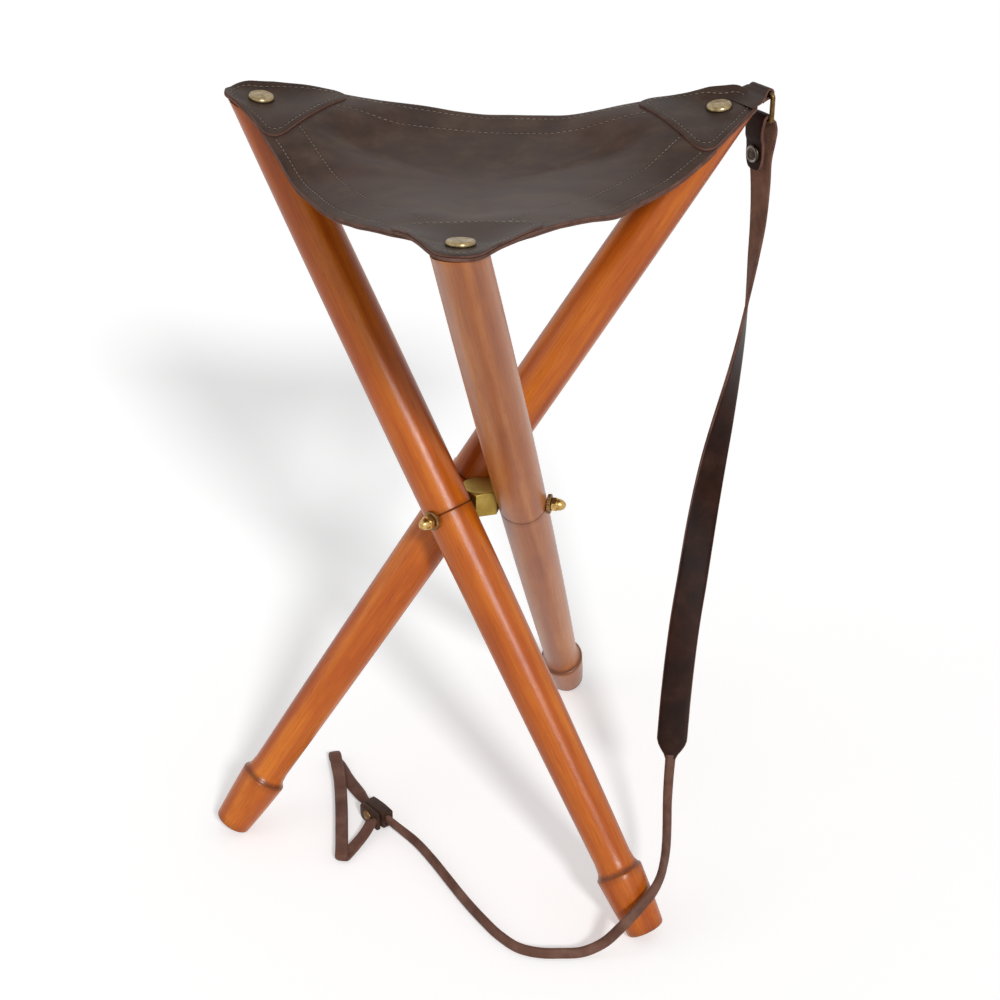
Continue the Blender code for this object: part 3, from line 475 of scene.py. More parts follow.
def grow(rings: Sequence[Sequence[Vector]], loop: bool = True, closed: bool = False, caps: bool = True) -> BMesh:
    """Extrude a first line of points through the places of the lines after it.

    Args:
        rings: Equal lists of points.
        loop: True where each list closes on itself.
        closed: True where the last list joins the first.
        caps: True to close the two ends of a tube.

    Returns:
        The mesh, with each point's place in its line and its line's number in its layers.
    """
    bm = fresh()
    mark = bm.verts.layers.int[MARK]
    row = bm.verts.layers.int[ROW]
    first = [bm.verts.new(p) for p in rings[0]]
    for n, vert in enumerate(first):
        vert[mark] = n
    pairs = list(zip(first, first[1:]))
    if loop:
        pairs.append((first[-1], first[0]))
    begin = [bm.edges.new(pair) for pair in pairs]
    line = begin
    for number, ring in enumerate(rings[1:], 1):
        grown = bmesh.ops.extrude_edge_only(bm, edges=line)["geom"]
        moved = {g for g in grown if isinstance(g, BMVert)}
        for vert in moved:
            vert.co = ring[vert[mark]]
            vert[row] = number
        line = [g for g in grown if isinstance(g, BMEdge) and g.verts[0] in moved and g.verts[1] in moved]
    if closed:
        bmesh.ops.bridge_loops(bm, edges=begin + line)
    elif loop and caps:
        bmesh.ops.contextual_create(bm, geom=begin)
        bmesh.ops.contextual_create(bm, geom=line)
    return bm


def turned(profile: Sequence[tuple[float, float]], segments: int) -> BMesh:
    """Spin a list of (radius, height) points round Z into a closed body."""
    bm = fresh()
    verts = [bm.verts.new((r, 0, z)) for r, z in profile]
    edges = [bm.edges.new(pair) for pair in zip(verts, verts[1:])]
    bmesh.ops.spin(bm, geom=verts + edges, cent=(0, 0, 0), axis=(0, 0, 1), angle=math.tau, steps=segments,
                   use_merge=True, use_duplicate=False)
    bmesh.ops.remove_doubles(bm, verts=bm.verts[:], dist=1e-6)
    return bm


def trim(bm: BMesh, point: Vector, normal: Vector) -> list[BMEdge]:
    """Cut away what lies beyond a plane, close the cut and return its edges."""
    geom = bm.verts[:] + bm.edges[:] + bm.faces[:]
    cut = bmesh.ops.bisect_plane(bm, geom=geom, plane_co=point, plane_no=normal, clear_outer=True)
    edges = [e for e in cut["geom_cut"] if isinstance(e, BMEdge)]
    bmesh.ops.contextual_create(bm, geom=edges)
    return edges


def soften(bm: BMesh, edges: Sequence[BMEdge], size: float, segments: int = 2) -> None:
    """Round a set of edges."""
    bmesh.ops.bevel(bm, geom=list(edges), offset=size, segments=segments, profile=0.5, affect="EDGES", material=-1,
                    clamp_overlap=True)


def thicken(bm: BMesh, depth: float) -> None:
    """Give a sheet a depth below it, with its grain, flesh and edge faces told apart."""
    sheet = bm.faces[:]
    for face in sheet:
        face.material_index = Face.GRAIN.value
    grown = bmesh.ops.extrude_face_region(bm, geom=sheet)["geom"]
    moved = [g for g in grown if isinstance(g, BMVert)]
    under = {g for g in grown if isinstance(g, BMFace)}
    known = set(sheet) | under
    for face in bm.faces:
        if face in under:
            face.material_index = Face.FLESH.value
        elif face not in known:
            face.material_index = Face.EDGE.value
    bmesh.ops.translate(bm, verts=moved, vec=(0, 0, -depth))


def note_places(bm: BMesh, shift: Vector = Vector((0, 0, 0))) -> None:
    """Keep each point's place as its pattern coordinate."""
    lay = bm.verts.layers.float_vector[LAY]
    for vert in bm.verts:
        vert[lay] = vert.co + shift


def finish_piece(name: str, bm: BMesh, materials: Sequence[bpy.types.Material],
                 sharp: float = 38.0) -> bpy.types.Object:
    """Turn a mesh into a smooth-shaded piece.

    Args:
        name: Name of the piece.
        bm: Its mesh in the row frame, freed here.
        materials: Its finishes, in the order of its faces' numbers.
        sharp: Angle in degrees from which an edge stays sharp.

    Returns:
        The new object.
    """
    bmesh.ops.remove_doubles(bm, verts=bm.verts[:], dist=1e-6)
    bmesh.ops.recalc_face_normals(bm, faces=bm.faces[:])
    for face in bm.faces:
        face.smooth = True
    mesh = bpy.data.meshes.new(name)
    bm.to_mesh(mesh)
    bm.free()
    for material in materials:
        mesh.materials.append(material)
    mesh.set_sharp_from_angle(angle=math.radians(sharp))
    obj = bpy.data.objects.new(name, mesh)
    bpy.context.collection.objects.link(obj)
    log.info("piece %s: %d faces", name, len(mesh.polygons))
    return obj


def carry(obj: bpy.types.Object, body: str, *nodes: str) -> bpy.types.Object:
    """Let a piece ride on a body and stand for CAD nodes."""
    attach(obj, body)
    if nodes:
        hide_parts(*nodes)
    return obj


def smooth_route(points: Sequence[Vector], step: float) -> list[tuple[Vector, int, float]]:
    """Read a smooth curve through given points at about even steps.

    Args:
        points: Places the curve goes through.
        step: Distance between two places read.

    Returns:
        List of (place, number of the span, share of the span).
    """
    last = len(points) - 1
    spans = [(points[k + 1] - points[k]).length for k in range(last)]
    slopes = []
    for k in range(last + 1):
        if k == 0:
            slopes.append((points[1] - points[0]) / spans[0])
        elif k == last:
            slopes.append((points[last] - points[last - 1]) / spans[last - 1])
        else:
            before = (points[k] - points[k - 1]) / spans[k - 1]
            after = (points[k + 1] - points[k]) / spans[k]
            slopes.append((before * spans[k] + after * spans[k - 1]) / (spans[k - 1] + spans[k]))
    result = []
    for k in range(last):
        count = max(1, round(spans[k] / step))
        for n in range(count):
            t = n / count
            place = (points[k] * (2 * t ** 3 - 3 * t ** 2 + 1) + slopes[k] * spans[k] * (t ** 3 - 2 * t ** 2 + t)
                     + points[k + 1] * (3 * t ** 2 - 2 * t ** 3) + slopes[k + 1] * spans[k] * (t ** 3 - t ** 2))
            result.append((place, k, t))
    result.append((points[last], last - 1, 1.0))
    return result


def directions(places: Sequence[Vector]) -> list[Vector]:
    """Return the unit direction at each place of a route."""
    last = len(places) - 1
    return [(places[min(n + 1, last)] - places[max(n - 1, 0)]).normalized() for n in range(len(places))]


def distances(places: Sequence[Vector]) -> list[float]:
    """Return the distance along a route to each of its places."""
    result = [0.0]
    for a, b in zip(places, places[1:]):
        result.append(result[-1] + (b - a).length)
    return result


@dataclass(frozen=True)
class Ribbon:
    """A flat strip of leather with rounded cut edges."""

    width: float
    depth: float
    round: float = 0.0007
    crown: float = 0.0
    across: int = 6

    def outline(self, width: float, depth: float) -> list[tuple[float, float]]:
        """Return one slice's (across, thick) points for a given width and depth."""
        half_w = width / 2
        half_t = depth / 2
        r = min(self.round, half_t * 0.8, half_w * 0.8)
        flat = [(half_w - r) * (2 * n / self.across - 1) for n in range(self.across + 1)]
        bow = [self.crown * (1 - (a / half_w) ** 2) for a in flat]
        side = [(half_w - r * 0.3, half_t - r * 0.3), (half_w, half_t - r), (half_w, r - half_t),
                (half_w - r * 0.3, r * 0.3 - half_t)]
        points = [(a, half_t + b) for a, b in zip(flat, bow)] + side
        points += [(a, b - half_t) for a, b in zip(flat[::-1], bow[::-1])]
        points += [(-a, b) for a, b in side[::-1]]
        return points

    def face_of(self, a: int, b: int) -> Face:
        """Tell which side a stretch between two points of a slice belongs to."""
        low = min(a, b)
        if abs(a - b) > 1:
            return Face.EDGE
        if low < self.across:
            return Face.GRAIN
        if self.across + 5 <= low < 2 * self.across + 5:
            return Face.FLESH
        return Face.EDGE

    def sweep(self, places: Sequence[Vector], wides: Sequence[Vector], widths: Sequence[float],
              depths: Optional[Sequence[float]] = None) -> BMesh:
        """Draw the strip along a route.

        Args:
            places: Middle of the strip at each slice.
            wides: Direction of its width at each slice.
            widths: Its width at each slice.
            depths: Its thickness at each slice where it isn't even.

        Returns:
            The mesh with its faces' numbers and pattern coordinates.
        """
        slices = [self.outline(w, d) for w, d in zip(widths, depths or [self.depth] * len(widths))]
        rings = []
        for place, wide, heading, points in zip(places, wides, directions(places), slices):
            across = square_to(wide, heading)
            thick = heading.cross(across)
            rings.append([place + across * a + thick * b for a, b in points])
        bm = grow(rings)
        mark = bm.verts.layers.int[MARK]
        row = bm.verts.layers.int[ROW]
        lay = bm.verts.layers.float_vector[LAY]
        run = distances(places)
        for vert in bm.verts:
            a, b = slices[vert[row]][vert[mark]]
            vert[lay] = Vector((a, run[vert[row]], b))
        for face in bm.faces:
            marks = sorted({v[mark] for v in face.verts})
            face.material_index = self.face_of(*marks).value if len(marks) == 2 else Face.EDGE.value
        return bm


@dataclass
class Curve:
    """A smooth curve through given values that doesn't overshoot them."""

    places: tuple[float, ...]
    values: tuple[float, ...]
    slopes: list[float] = field(default_factory=list)

    def __post_init__(self) -> None:
        """Work out the slope at each value."""
        runs = [b - a for a, b in zip(self.places, self.places[1:])]
        rates = [(b - a) / run for a, b, run in zip(self.values, self.values[1:], runs)]
        self.slopes = [rates[0]]
        for n in range(1, len(runs)):
            before, after = rates[n - 1], rates[n]
            if before * after <= 0:
                self.slopes.append(0.0)
                continue
            first = 2 * runs[n] + runs[n - 1]
            second = runs[n] + 2 * runs[n - 1]
            self.slopes.append((first + second) / (first / before + second / after))
        self.slopes.append(rates[-1])

    def at(self, place: float) -> float:
        """Read the curve at a place."""
        place = min(self.places[-1], max(self.places[0], place))
        n = min(bisect_right(self.places, place) - 1, len(self.places) - 2)
        run = self.places[n + 1] - self.places[n]
        t = (place - self.places[n]) / run
        return (self.values[n] * (2 * t ** 3 - 3 * t ** 2 + 1) + self.slopes[n] * run * (t ** 3 - 2 * t ** 2 + t)
                + self.values[n + 1] * (3 * t ** 2 - 2 * t ** 3) + self.slopes[n + 1] * run * (t ** 3 - t ** 2))


@dataclass(frozen=True)
class Layout:
    """Where the stool's pivots, legs and seat corners are."""

    centre: Vector
    tilt: float = math.radians(35.6)
    above: float = 0.3520
    pivot_radius: float = 0.0343
    pivot_z: float = 0.300514
    bolts: tuple[float, ...] = (math.radians(120), math.radians(240), 0.0)

    @property
    def seat_z(self) -> float:
        """Height of the leg ends' middles."""
        return self.pivot_z + self.above * math.cos(self.tilt)

    def bolt(self, k: int) -> Vector:
        """Direction of a leg's pivot stud, away from the hub."""
        return Vector((math.cos(self.bolts[k]), math.sin(self.bolts[k]), 0))

    def lean(self, k: int) -> Vector:
        """Direction in which a leg's seat end leans."""
        return Vector((math.sin(self.bolts[k]), -math.cos(self.bolts[k]), 0))

    def end(self, k: int) -> Vector:
        """Plan place of a leg's seat end from the stool's middle."""
        return self.bolt(k) * self.pivot_radius + self.lean(k) * self.above * math.sin(self.tilt)

    def out(self, k: int) -> Vector:
        """Direction in plan from the stool's middle to a leg's seat end."""
        return self.end(k).normalized()

    def pivot(self, k: int) -> Matrix:
        """Placement of a leg's pivot: X along the stud, Z up the leg."""
        u = self.bolt(k)
        axis = self.lean(k) * math.sin(self.tilt) + UP * math.cos(self.tilt)
        turn = Matrix((u, axis.cross(u), axis)).transposed().to_4x4()
        return Matrix.Translation(self.centre + u * self.pivot_radius + UP * self.pivot_z) @ turn

    def stud(self, k: int) -> Matrix:
        """Placement on a stud's axis: Z outward along the stud, from the hub's middle."""
        u = self.bolt(k)
        side = UP.cross(u)
        turn = Matrix((side, u.cross(side), u)).transposed().to_4x4()
        return Matrix.Translation(self.centre + UP * self.pivot_z) @ turn


@dataclass
class SeatForm:
    """The seat's plan outline and the way its leather sags."""

    layout: Layout
    reach: float = 0.0275
    edge_out: float = 0.0235
    sag: float = 0.0245
    soft: float = 0.35
    level: float = -0.0050
    draw: float = 2.6
    sink: float = 0.0280
    lean: float = 0.085
    flat: float = 0.0105
    fade: float = 0.0260
    brow: tuple[float, ...] = (-0.0025, -0.0025, -0.0035)
    hold: float = 0.0460
    release: float = 0.1050
    uneven: float = 0.0006
    panel: float = 0.0026
    patch: float = 0.0018
    lift: float = 0.0016
    shares: tuple[float, ...] = (0.0, 0.08, 0.16, 0.26, 0.38, 0.50, 0.62, 0.74, 0.84, 0.92, 1.0)
    back_rim: tuple[float, ...] = (0.0120, 0.0040, -0.0040, -0.0140, -0.0140, -0.0085, -0.0030, 0.0045, 0.0075)
    left_rim: tuple[float, ...] = (0.0060, -0.0020, -0.0160, -0.0300, -0.0290, -0.0205, -0.0080, 0.0020, 0.0035)
    right_rim: tuple[float, ...] = (0.0035, 0.0025, -0.0025, -0.0130, -0.0235, -0.0230, -0.0155, -0.0055, 0.0010)
    back_bulge: tuple[float, ...] = (-0.0005, -0.0035, 0.0020)
    left_bulge: tuple[float, ...] = (-0.0060, -0.0035, -0.0030)
    right_bulge: tuple[float, ...] = (-0.0010, -0.0040, 0.0010)
    rims: list[Curve] = field(default_factory=list)
    bulges: list[Curve] = field(default_factory=list)
    angles: list[float] = field(default_factory=list)
    radii: list[float] = field(default_factory=list)

    def __post_init__(self) -> None:
        """Draw the rim's curves and read the outline's distance from the middle all round."""
        tip = self.corner_shape()[0]
        for rim, bulge in ((self.back_rim, self.back_bulge), (self.left_rim, self.left_bulge),
                           (self.right_rim, self.right_bulge)):
            self.rims.append(Curve(self.shares, (tip, *rim, tip)))
            self.bulges.append(Curve((0.0, 0.16, 0.5, 0.84, 1.0), (0.0, *bulge, 0.0)))
        points = []
        for k in range(3):
            points += [self.tip_point(k, n / 24) for n in range(24)]
            points += [self.side_point(k, n / 48) for n in range(48)]
        table = sorted((math.atan2(p.y, p.x), p.length) for p in points)
        self.angles = [a for a, _ in table]
        self.radii = [r for _, r in table]

    @property
    def shift(self) -> float:
        """How far a tip's centre lies beyond its leg end."""
        return 2 * (self.reach - self.edge_out)

    @property
    def tip_radius(self) -> float:
        """Radius of the rounded tips."""
        return self.edge_out - self.shift / 2

    def tip_centre(self, k: int) -> Vector:
        """Centre of a rounded tip."""
        return self.layout.end(k) + self.layout.out(k) * self.shift

    def side_frame(self, k: int) -> tuple[Vector, Vector, Vector, float]:
        """Return a side's start, its direction, its outward normal and its length."""
        start = self.tip_centre(k)
        run = self.tip_centre((k + 1) % 3) - start
        along = run.normalized()
        return start, along, Vector((along.y, -along.x, 0)), run.length

    def side_point(self, k: int, t: float, inside: float = 0.0) -> Vector:
        """Place on a side of the outline, or a distance inside it."""
        start, along, normal, length = self.side_frame(k)
        return start + along * length * t + normal * (self.tip_radius + self.bulges[k].at(t) - inside)

    def tip_point(self, k: int, t: float) -> Vector:
        """Place on a rounded tip, from one side's end to the next side's start."""
        _, _, normal, _ = self.side_frame(k)
        angle = math.atan2(normal.y, normal.x) - math.radians(120 * (1 - t))
        return self.tip_centre(k) + Vector((math.cos(angle), math.sin(angle), 0)) * self.tip_radius

    def edge_distance(self, point: Vector) -> float:
        """Distance from a point inside the outline to the nearest edge."""
        nearest = 1.0
        for k in range(3):
            start, along, normal, length = self.side_frame(k)
            away = point - start
            edge = self.tip_radius + self.bulges[k].at(away.dot(along) / length)
            nearest = min(nearest, edge - away.dot(normal))
        for k in range(3):
            _, after, _, _ = self.side_frame(k)
            _, before, _, _ = self.side_frame((k + 2) % 3)
            away = point - self.tip_centre(k)
            if away.dot(after) < 0 and away.dot(before) > 0:
                return self.tip_radius - away.length
        return nearest

    def bowl(self, share: float) -> tuple[float, float]:
        """Rise of the seat from 0 at its middle to 1 at its rim, and its slope there."""
        span = math.sqrt(1 + self.soft ** 2) - self.soft
        length = math.sqrt(share ** 2 + self.soft ** 2)
        return (length - self.soft) / span, share / (length * span)

    def corner_shape(self) -> tuple[float, float]:
        """Return the height of the tips above the leg ends, and the slope at the leg ends."""
        radius = self.layout.end(0).length
        rise, slope = self.bowl(radius / (radius + self.reach))
        return self.sag / rise - self.sag, self.sag / rise * slope / (radius + self.reach)

    def corner_normal(self, k: int) -> Vector:
        """Direction square to a leg's seat end."""
        return (UP - self.layout.out(k) * self.corner_shape()[1]).normalized()

    def rim_radius(self, point: Vector) -> float:
        """Distance from the middle to the outline in the direction of a point."""
        angle = math.atan2(point.y, point.x)
        n = bisect_right(self.angles, angle)
        low = self.angles[n - 1] if n else self.angles[-1] - math.tau
        high = self.angles[n] if n < len(self.angles) else self.angles[0] + math.tau
        a = self.radii[n - 1]
        b = self.radii[n % len(self.radii)]
        return a + (b - a) * (angle - low) / (high - low)

    def rim_height(self, point: Vector) -> float:
        """Height of the seat's rim in the direction of a point."""
        tip = self.corner_shape()[0]
        for k in range(3):
            a = self.layout.end(k)
            b = self.layout.end((k + 1) % 3)
            if a.x * point.y - a.y * point.x >= 0 and point.x * b.y - point.y * b.x > 0:
                side = b - a
                scale = (a.x * side.y - a.y * side.x) / (point.x * side.y - point.y * side.x)
                share = min(1.0, max(0.0, (point * scale - a).dot(side) / side.length_squared))
                return self.rims[k].at(share)
        return tip

    def corner_sheet(self, k: int, point: Vector) -> tuple[float, float]:
        """Return the height of the doubled leather by a corner, drawn straight from rim to rim, and its hold.

        Args:
            k: The corner.
            point: Plan place from the stool's middle.

        Returns:
            The height, and a share from 0 where the corner has no hold to 1 where it rules.
        """
        out = self.layout.out(k)
        depth = (self.layout.end(k) - point).dot(out)
        hold = ease((depth + 0.006) / 0.020) * (1 - ease((depth - self.hold) / (self.release - self.hold)))
        if hold <= 0:
            return 0.0, 0.0
        t = (depth + self.shift + self.tip_radius / 2) / (self.side_frame(k)[3] * math.cos(math.radians(30)))
        first = self.side_point(k, t)
        last = self.side_point((k + 2) % 3, 1 - t)
        run = first - last
        share = min(1.0, max(0.0, (point - last).dot(run) / run.length_squared))
        low, high = self.rim_height(last), self.rim_height(first)
        drop = (low + high) / 2 - self.brow[k]
        return low + (high - low) * share - drop * 4 * share * (1 - share), hold

    def height(self, point: Vector) -> float:
        """Height of the leather's underside above the floor at a plan place."""
        flat = Vector((point.x, point.y, 0))
        share = flat.length / self.rim_radius(flat) if flat.length > 1e-9 else 0.0
        rim = self.rim_height(flat) if share else self.level
        bowl = (self.sink + self.level) * self.bowl(share)[0] - self.sink + (rim - self.level) * share ** self.draw
        bowl += self.lean * flat.dot(self.layout.out(2)) * (1 - share ** 2)
        k = min(range(3), key=lambda n: (flat - self.layout.end(n)).length)
        sheet, hold = self.corner_sheet(k, flat)
        bowl += (sheet - bowl) * hold
        away = flat - self.layout.end(k)
        plane = away.dot(self.layout.out(k)) * self.corner_shape()[1]
        free = ease((away.length - self.flat) / (self.fade - self.flat))
        wave = noise.noise(flat * 21) + 0.5 * noise.noise(flat * 47)
        return self.layout.seat_z + self.lift + GAP + plane + (bowl - plane + self.uneven * wave) * free

    @property
    def stack(self) -> float:
        """Height of the corner patches' tops above the leg ends."""
        return GAP + self.panel + GAP + self.patch

    def on_top(self, point: Vector, lift: float = 0.0) -> Vector:
        """Place on the panel's top, in the row frame, with a lift above it."""
        flat = Vector((point.x, point.y, 0))
        return self.layout.centre + flat + UP * (self.height(flat) + self.panel + lift)


@dataclass
class Studio:
    """Camera, lights, floor and surroundings."""

    layout: Layout
    place: tuple[float, float, float] = (0.325293, -1.395340, 1.059663)
    right: tuple[float, float, float] = (0.975777, 0.218736, 0.003774)
    upward: tuple[float, float, float] = (-0.105642, 0.456020, 0.883677)
    look: tuple[float, float, float] = (-0.191571, 0.862671, -0.468081)
    lens: float = 73.566

    def build_camera(self) -> None:
        """Place the camera where the photograph was taken from."""
        data = bpy.data.cameras.new("camera")
        data.lens = self.lens
        data.sensor_width = 36.0
        data.clip_end = 50.0
        camera = bpy.data.objects.new("camera", data)
        bpy.context.collection.objects.link(camera)
        turn = Matrix((Vector(self.right), Vector(self.upward), -Vector(self.look))).transposed().to_4x4()
        camera.matrix_world = Matrix.Translation(Vector(self.place) + self.layout.centre) @ turn
        bpy.context.scene.camera = camera

    def build_lamp(self, name: str, place: Sequence[float], aim: Sequence[float], size: tuple[float, float],
                   power: float, colour: Sequence[float] = (1, 1, 1)) -> None:
        """Hang a soft box.

        Args:
            name: Name of the lamp.
            place: Where it hangs.
            aim: Place it faces.
            size: Its width and height.
            power: Its power in watts.
            colour: Its colour.
        """
        data = bpy.data.lights.new(name, "AREA")
        data.shape = "RECTANGLE"
        data.size, data.size_y = size
        data.energy = power
        data.color = colour
        lamp = bpy.data.objects.new(name, data)
        bpy.context.collection.objects.link(lamp)
        turn = (Vector(aim) - Vector(place)).to_track_quat("-Z", "Y").to_matrix().to_4x4()
        lamp.matrix_world = Matrix.Translation(Vector(place)) @ turn

    def build_sun(self, bearing: float, height: float, level: float, spread: float) -> None:
        """Give even soft light from one direction.

        Args:
            bearing: Bearing it comes from in degrees.
            height: Angle above the floor in degrees.
            level: Its strength.
            spread: How wide it looks from the stool, in degrees.
        """
        data = bpy.data.lights.new("key", "SUN")
        data.energy = level
        data.angle = math.radians(spread)
        lamp = bpy.data.objects.new("key", data)
        bpy.context.collection.objects.link(lamp)
        a, b = math.radians(bearing), math.radians(height)
        ray = Vector((math.cos(a) * math.cos(b), math.sin(a) * math.cos(b), math.sin(b)))
        lamp.matrix_world = (-ray).to_track_quat("-Z", "Y").to_matrix().to_4x4()

    def seen_rays(self, tree: bpy.types.NodeTree) -> bpy.types.NodeSocket:
        """Return 1 for rays from the camera, from reflections and through clear pieces."""
        path = tree.nodes.new("ShaderNodeLightPath")
        total = path.outputs["Is Camera Ray"]
        for name in ("Is Glossy Ray", "Is Transmission Ray"):
            node = tree.nodes.new("ShaderNodeMath")
            node.operation = "MAXIMUM"
            tree.links.new(total, node.inputs[0])
            tree.links.new(path.outputs[name], node.inputs[1])
            total = node.outputs[0]
        return total

    def build_world(self) -> None:
        """Give soft light all round, white where the camera and reflections see it."""
        world = bpy.data.worlds.new("studio")
        bpy.context.scene.world = world
        world.use_nodes = True
        tree = world.node_tree
        shade = tree.nodes["Background"]
        shade.inputs["Color"].default_value = (1, 1, 1, 1)
        total = self.seen_rays(tree)
        level = tree.nodes.new("ShaderNodeMapRange")
        level.inputs["To Min"].default_value = 0.45
        level.inputs["To Max"].default_value = 1.0
        tree.links.new(total, level.inputs["Value"])
        tree.links.new(level.outputs["Result"], shade.inputs["Strength"])

    def build_floor(self) -> None:
        """Lay a wide white floor that keeps the stool's shadow."""
        bm = bmesh.new()
        bmesh.ops.create_grid(bm, x_segments=2, y_segments=2, size=9.0)
        mesh = bpy.data.meshes.new("floor")
        bm.to_mesh(mesh)
        bm.free()
        floor = bpy.data.objects.new("floor", mesh)
        bpy.context.collection.objects.link(floor)
        floor.location = self.layout.centre - UP * 0.0002
        material = bpy.data.materials.new("floor_white")
        material.use_nodes = True
        tree = material.node_tree
        shader = tree.nodes["Principled BSDF"]
        shader.inputs["Base Color"].default_value = (0.86, 0.86, 0.86, 1)
        shader.inputs["Roughness"].default_value = 0.9
        shader.inputs["Specular IOR Level"].default_value = 0.0
        shader.inputs["Emission Color"].default_value = (1, 1, 1, 1)
        glow = tree.nodes.new("ShaderNodeMapRange")
        glow.inputs["To Min"].default_value = 0.0
        glow.inputs["To Max"].default_value = 0.34
        tree.links.new(self.seen_rays(tree), glow.inputs["Value"])
        tree.links.new(glow.outputs["Result"], shader.inputs["Emission Strength"])
        mesh.materials.append(material)

    def build(self) -> None:
        """Set up the whole studio."""
        bpy.context.scene.view_settings.view_transform = "Standard"
        self.build_camera()
        aim = self.layout.centre + UP * 0.32
        self.build_sun(-60.0, 33.0, 1.84, 8.0)
        self.build_lamp("fill", (-1.9, -1.2, 1.3), aim, (1.2, 1.6), 4.0)
        self.build_world()
        self.build_floor()


@dataclass
class Leg:
    """A turned leg with a flared foot, a scribed line at its pivot and cut ends."""

    layout: Layout
    form: SeatForm
    index: int
    below: float = 0.3612
    at_pivot: float = 0.0193
    slope: float = 0.00716
    curve: float = -0.02343
    foot_length: float = 0.0515
    foot_end: float = 0.0152
    foot_collar: float = 0.0190
    foot_round: float = 0.0030
    groove_place: float = 0.0043
    groove_half: float = 0.0009
    groove_depth: float = 0.0009
    rim_round: float = 0.0012
    segments: int = 72

    def radius(self, s: float) -> float:
        """Radius of the leg at a distance above the pivot."""
        return self.at_pivot + self.slope * s + self.curve * s * s

    def profile(self) -> list[tuple[float, float]]:
        """Return the (radius, height) outline from the foot to past the seat end."""
        base = -self.below
        points = [(0.0, base)]
        for n in range(7):
            a = math.radians(90 * n / 6)
            points.append((self.foot_end - self.foot_round + self.foot_round * math.sin(a),
                           base + self.foot_round * (1 - math.cos(a))))
        for n in range(1, 9):
            t = n / 9
            rise = self.foot_round + (self.foot_length - 0.0012 - self.foot_round) * t
            points.append((self.foot_end + (self.foot_collar - self.foot_end) * t + 0.0003 * math.sin(math.pi * t),
                           base + rise))
        top = base + self.foot_length
        points += [(self.foot_collar, top - 0.0012), (self.foot_collar - 0.0002, top - 0.0005),
                   (self.foot_collar - 0.0006, top), (self.foot_collar - 0.0013, top + 0.0003),
                   (self.foot_collar - 0.0017, top + 0.0009), (self.foot_collar - 0.0020, top + 0.0020),
                   (self.foot_collar - 0.0027, top + 0.0034), (self.foot_collar - 0.0032, top + 0.0048)]
        start = top + 0.012
        points += [(self.radius(s), s) for s in (start + (-0.004 - start) * n / 26 for n in range(27))]
        for across, deep in ((-1.0, 0.0), (-0.4, 0.8), (0.0, 1.0), (0.4, 0.8), (1.0, 0.0)):
            place = self.groove_place + self.groove_half * across
            points.append((self.radius(place) - self.groove_depth * deep, place))
        beyond = self.layout.above + self.at_pivot * 1.4
        points += [(self.radius(min(s, self.layout.above)), s)
                   for s in (0.009 + (beyond - 0.009) * n / 28 for n in range(29))]
        points.append((0.0, beyond))
        return points

    def darken(self, bm: BMesh) -> None:
        """Note the pattern coordinates and the painted shade of the turning: darker in the scribed groove, in the cove
        under the foot's collar and towards the foot's end.
        """
        lay = bm.verts.layers.float_vector[LAY]
        shade = bm.verts.layers.float[SHADE]
        shift = Vector((0.37 * self.index, 0.11 * self.index, 0.83 * self.index))
        cove = self.foot_length - self.below + 0.0012
        for vert in bm.verts:
            vert[lay] = vert.co + shift
            # Painted shade: the scribed groove and the cove under the collar are darkened, and the foot's last few
            # millimetres
            line = max(0.0, 1 - abs(vert.co.z - self.groove_place) / (self.groove_half * 1.5))
            step = max(0.0, 1 - abs(vert.co.z - cove) / 0.0036)
            tip = max(0.0, 1 - (vert.co.z + self.below) / 0.006)
            vert[shade] = min(1.0, 0.85 * line + 0.75 * step + 0.45 * tip)

    def build(self, finishes: Finishes) -> bpy.types.Object:
        """Turn the leg, cut its ends and dress it."""
        place = self.layout.pivot(self.index)
        inward = place.to_3x3().inverted()
        bm = turned(self.profile(), self.segments)
        self.darken(bm)
        top = self.layout.centre + self.layout.end(self.index) + UP * (self.layout.seat_z + self.form.lift)
        rim = trim(bm, place.inverted() @ top, inward @ self.form.corner_normal(self.index))
        soften(bm, rim, self.rim_round)
        level = inward @ UP
        foot = trim(bm, Vector((0, 0, -self.layout.pivot_z / math.cos(self.layout.tilt))), -level)
        soften(bm, foot, 0.0005, 1)
        bmesh.ops.transform(bm, matrix=place, verts=bm.verts[:])
        name = f"leg_{self.index + 1}"
        obj = finish_piece(f"turned_{name}", bm, [finishes.woods[self.index]], 30.0)
        return carry(obj, name, name)


def hexagon(angle: float, half: float) -> float:
    """Radius of a hexagon at an angle, with a flat every sixty degrees."""
    fold = (angle + math.radians(30)) % math.radians(60) - math.radians(30)
    return half / math.cos(fold)


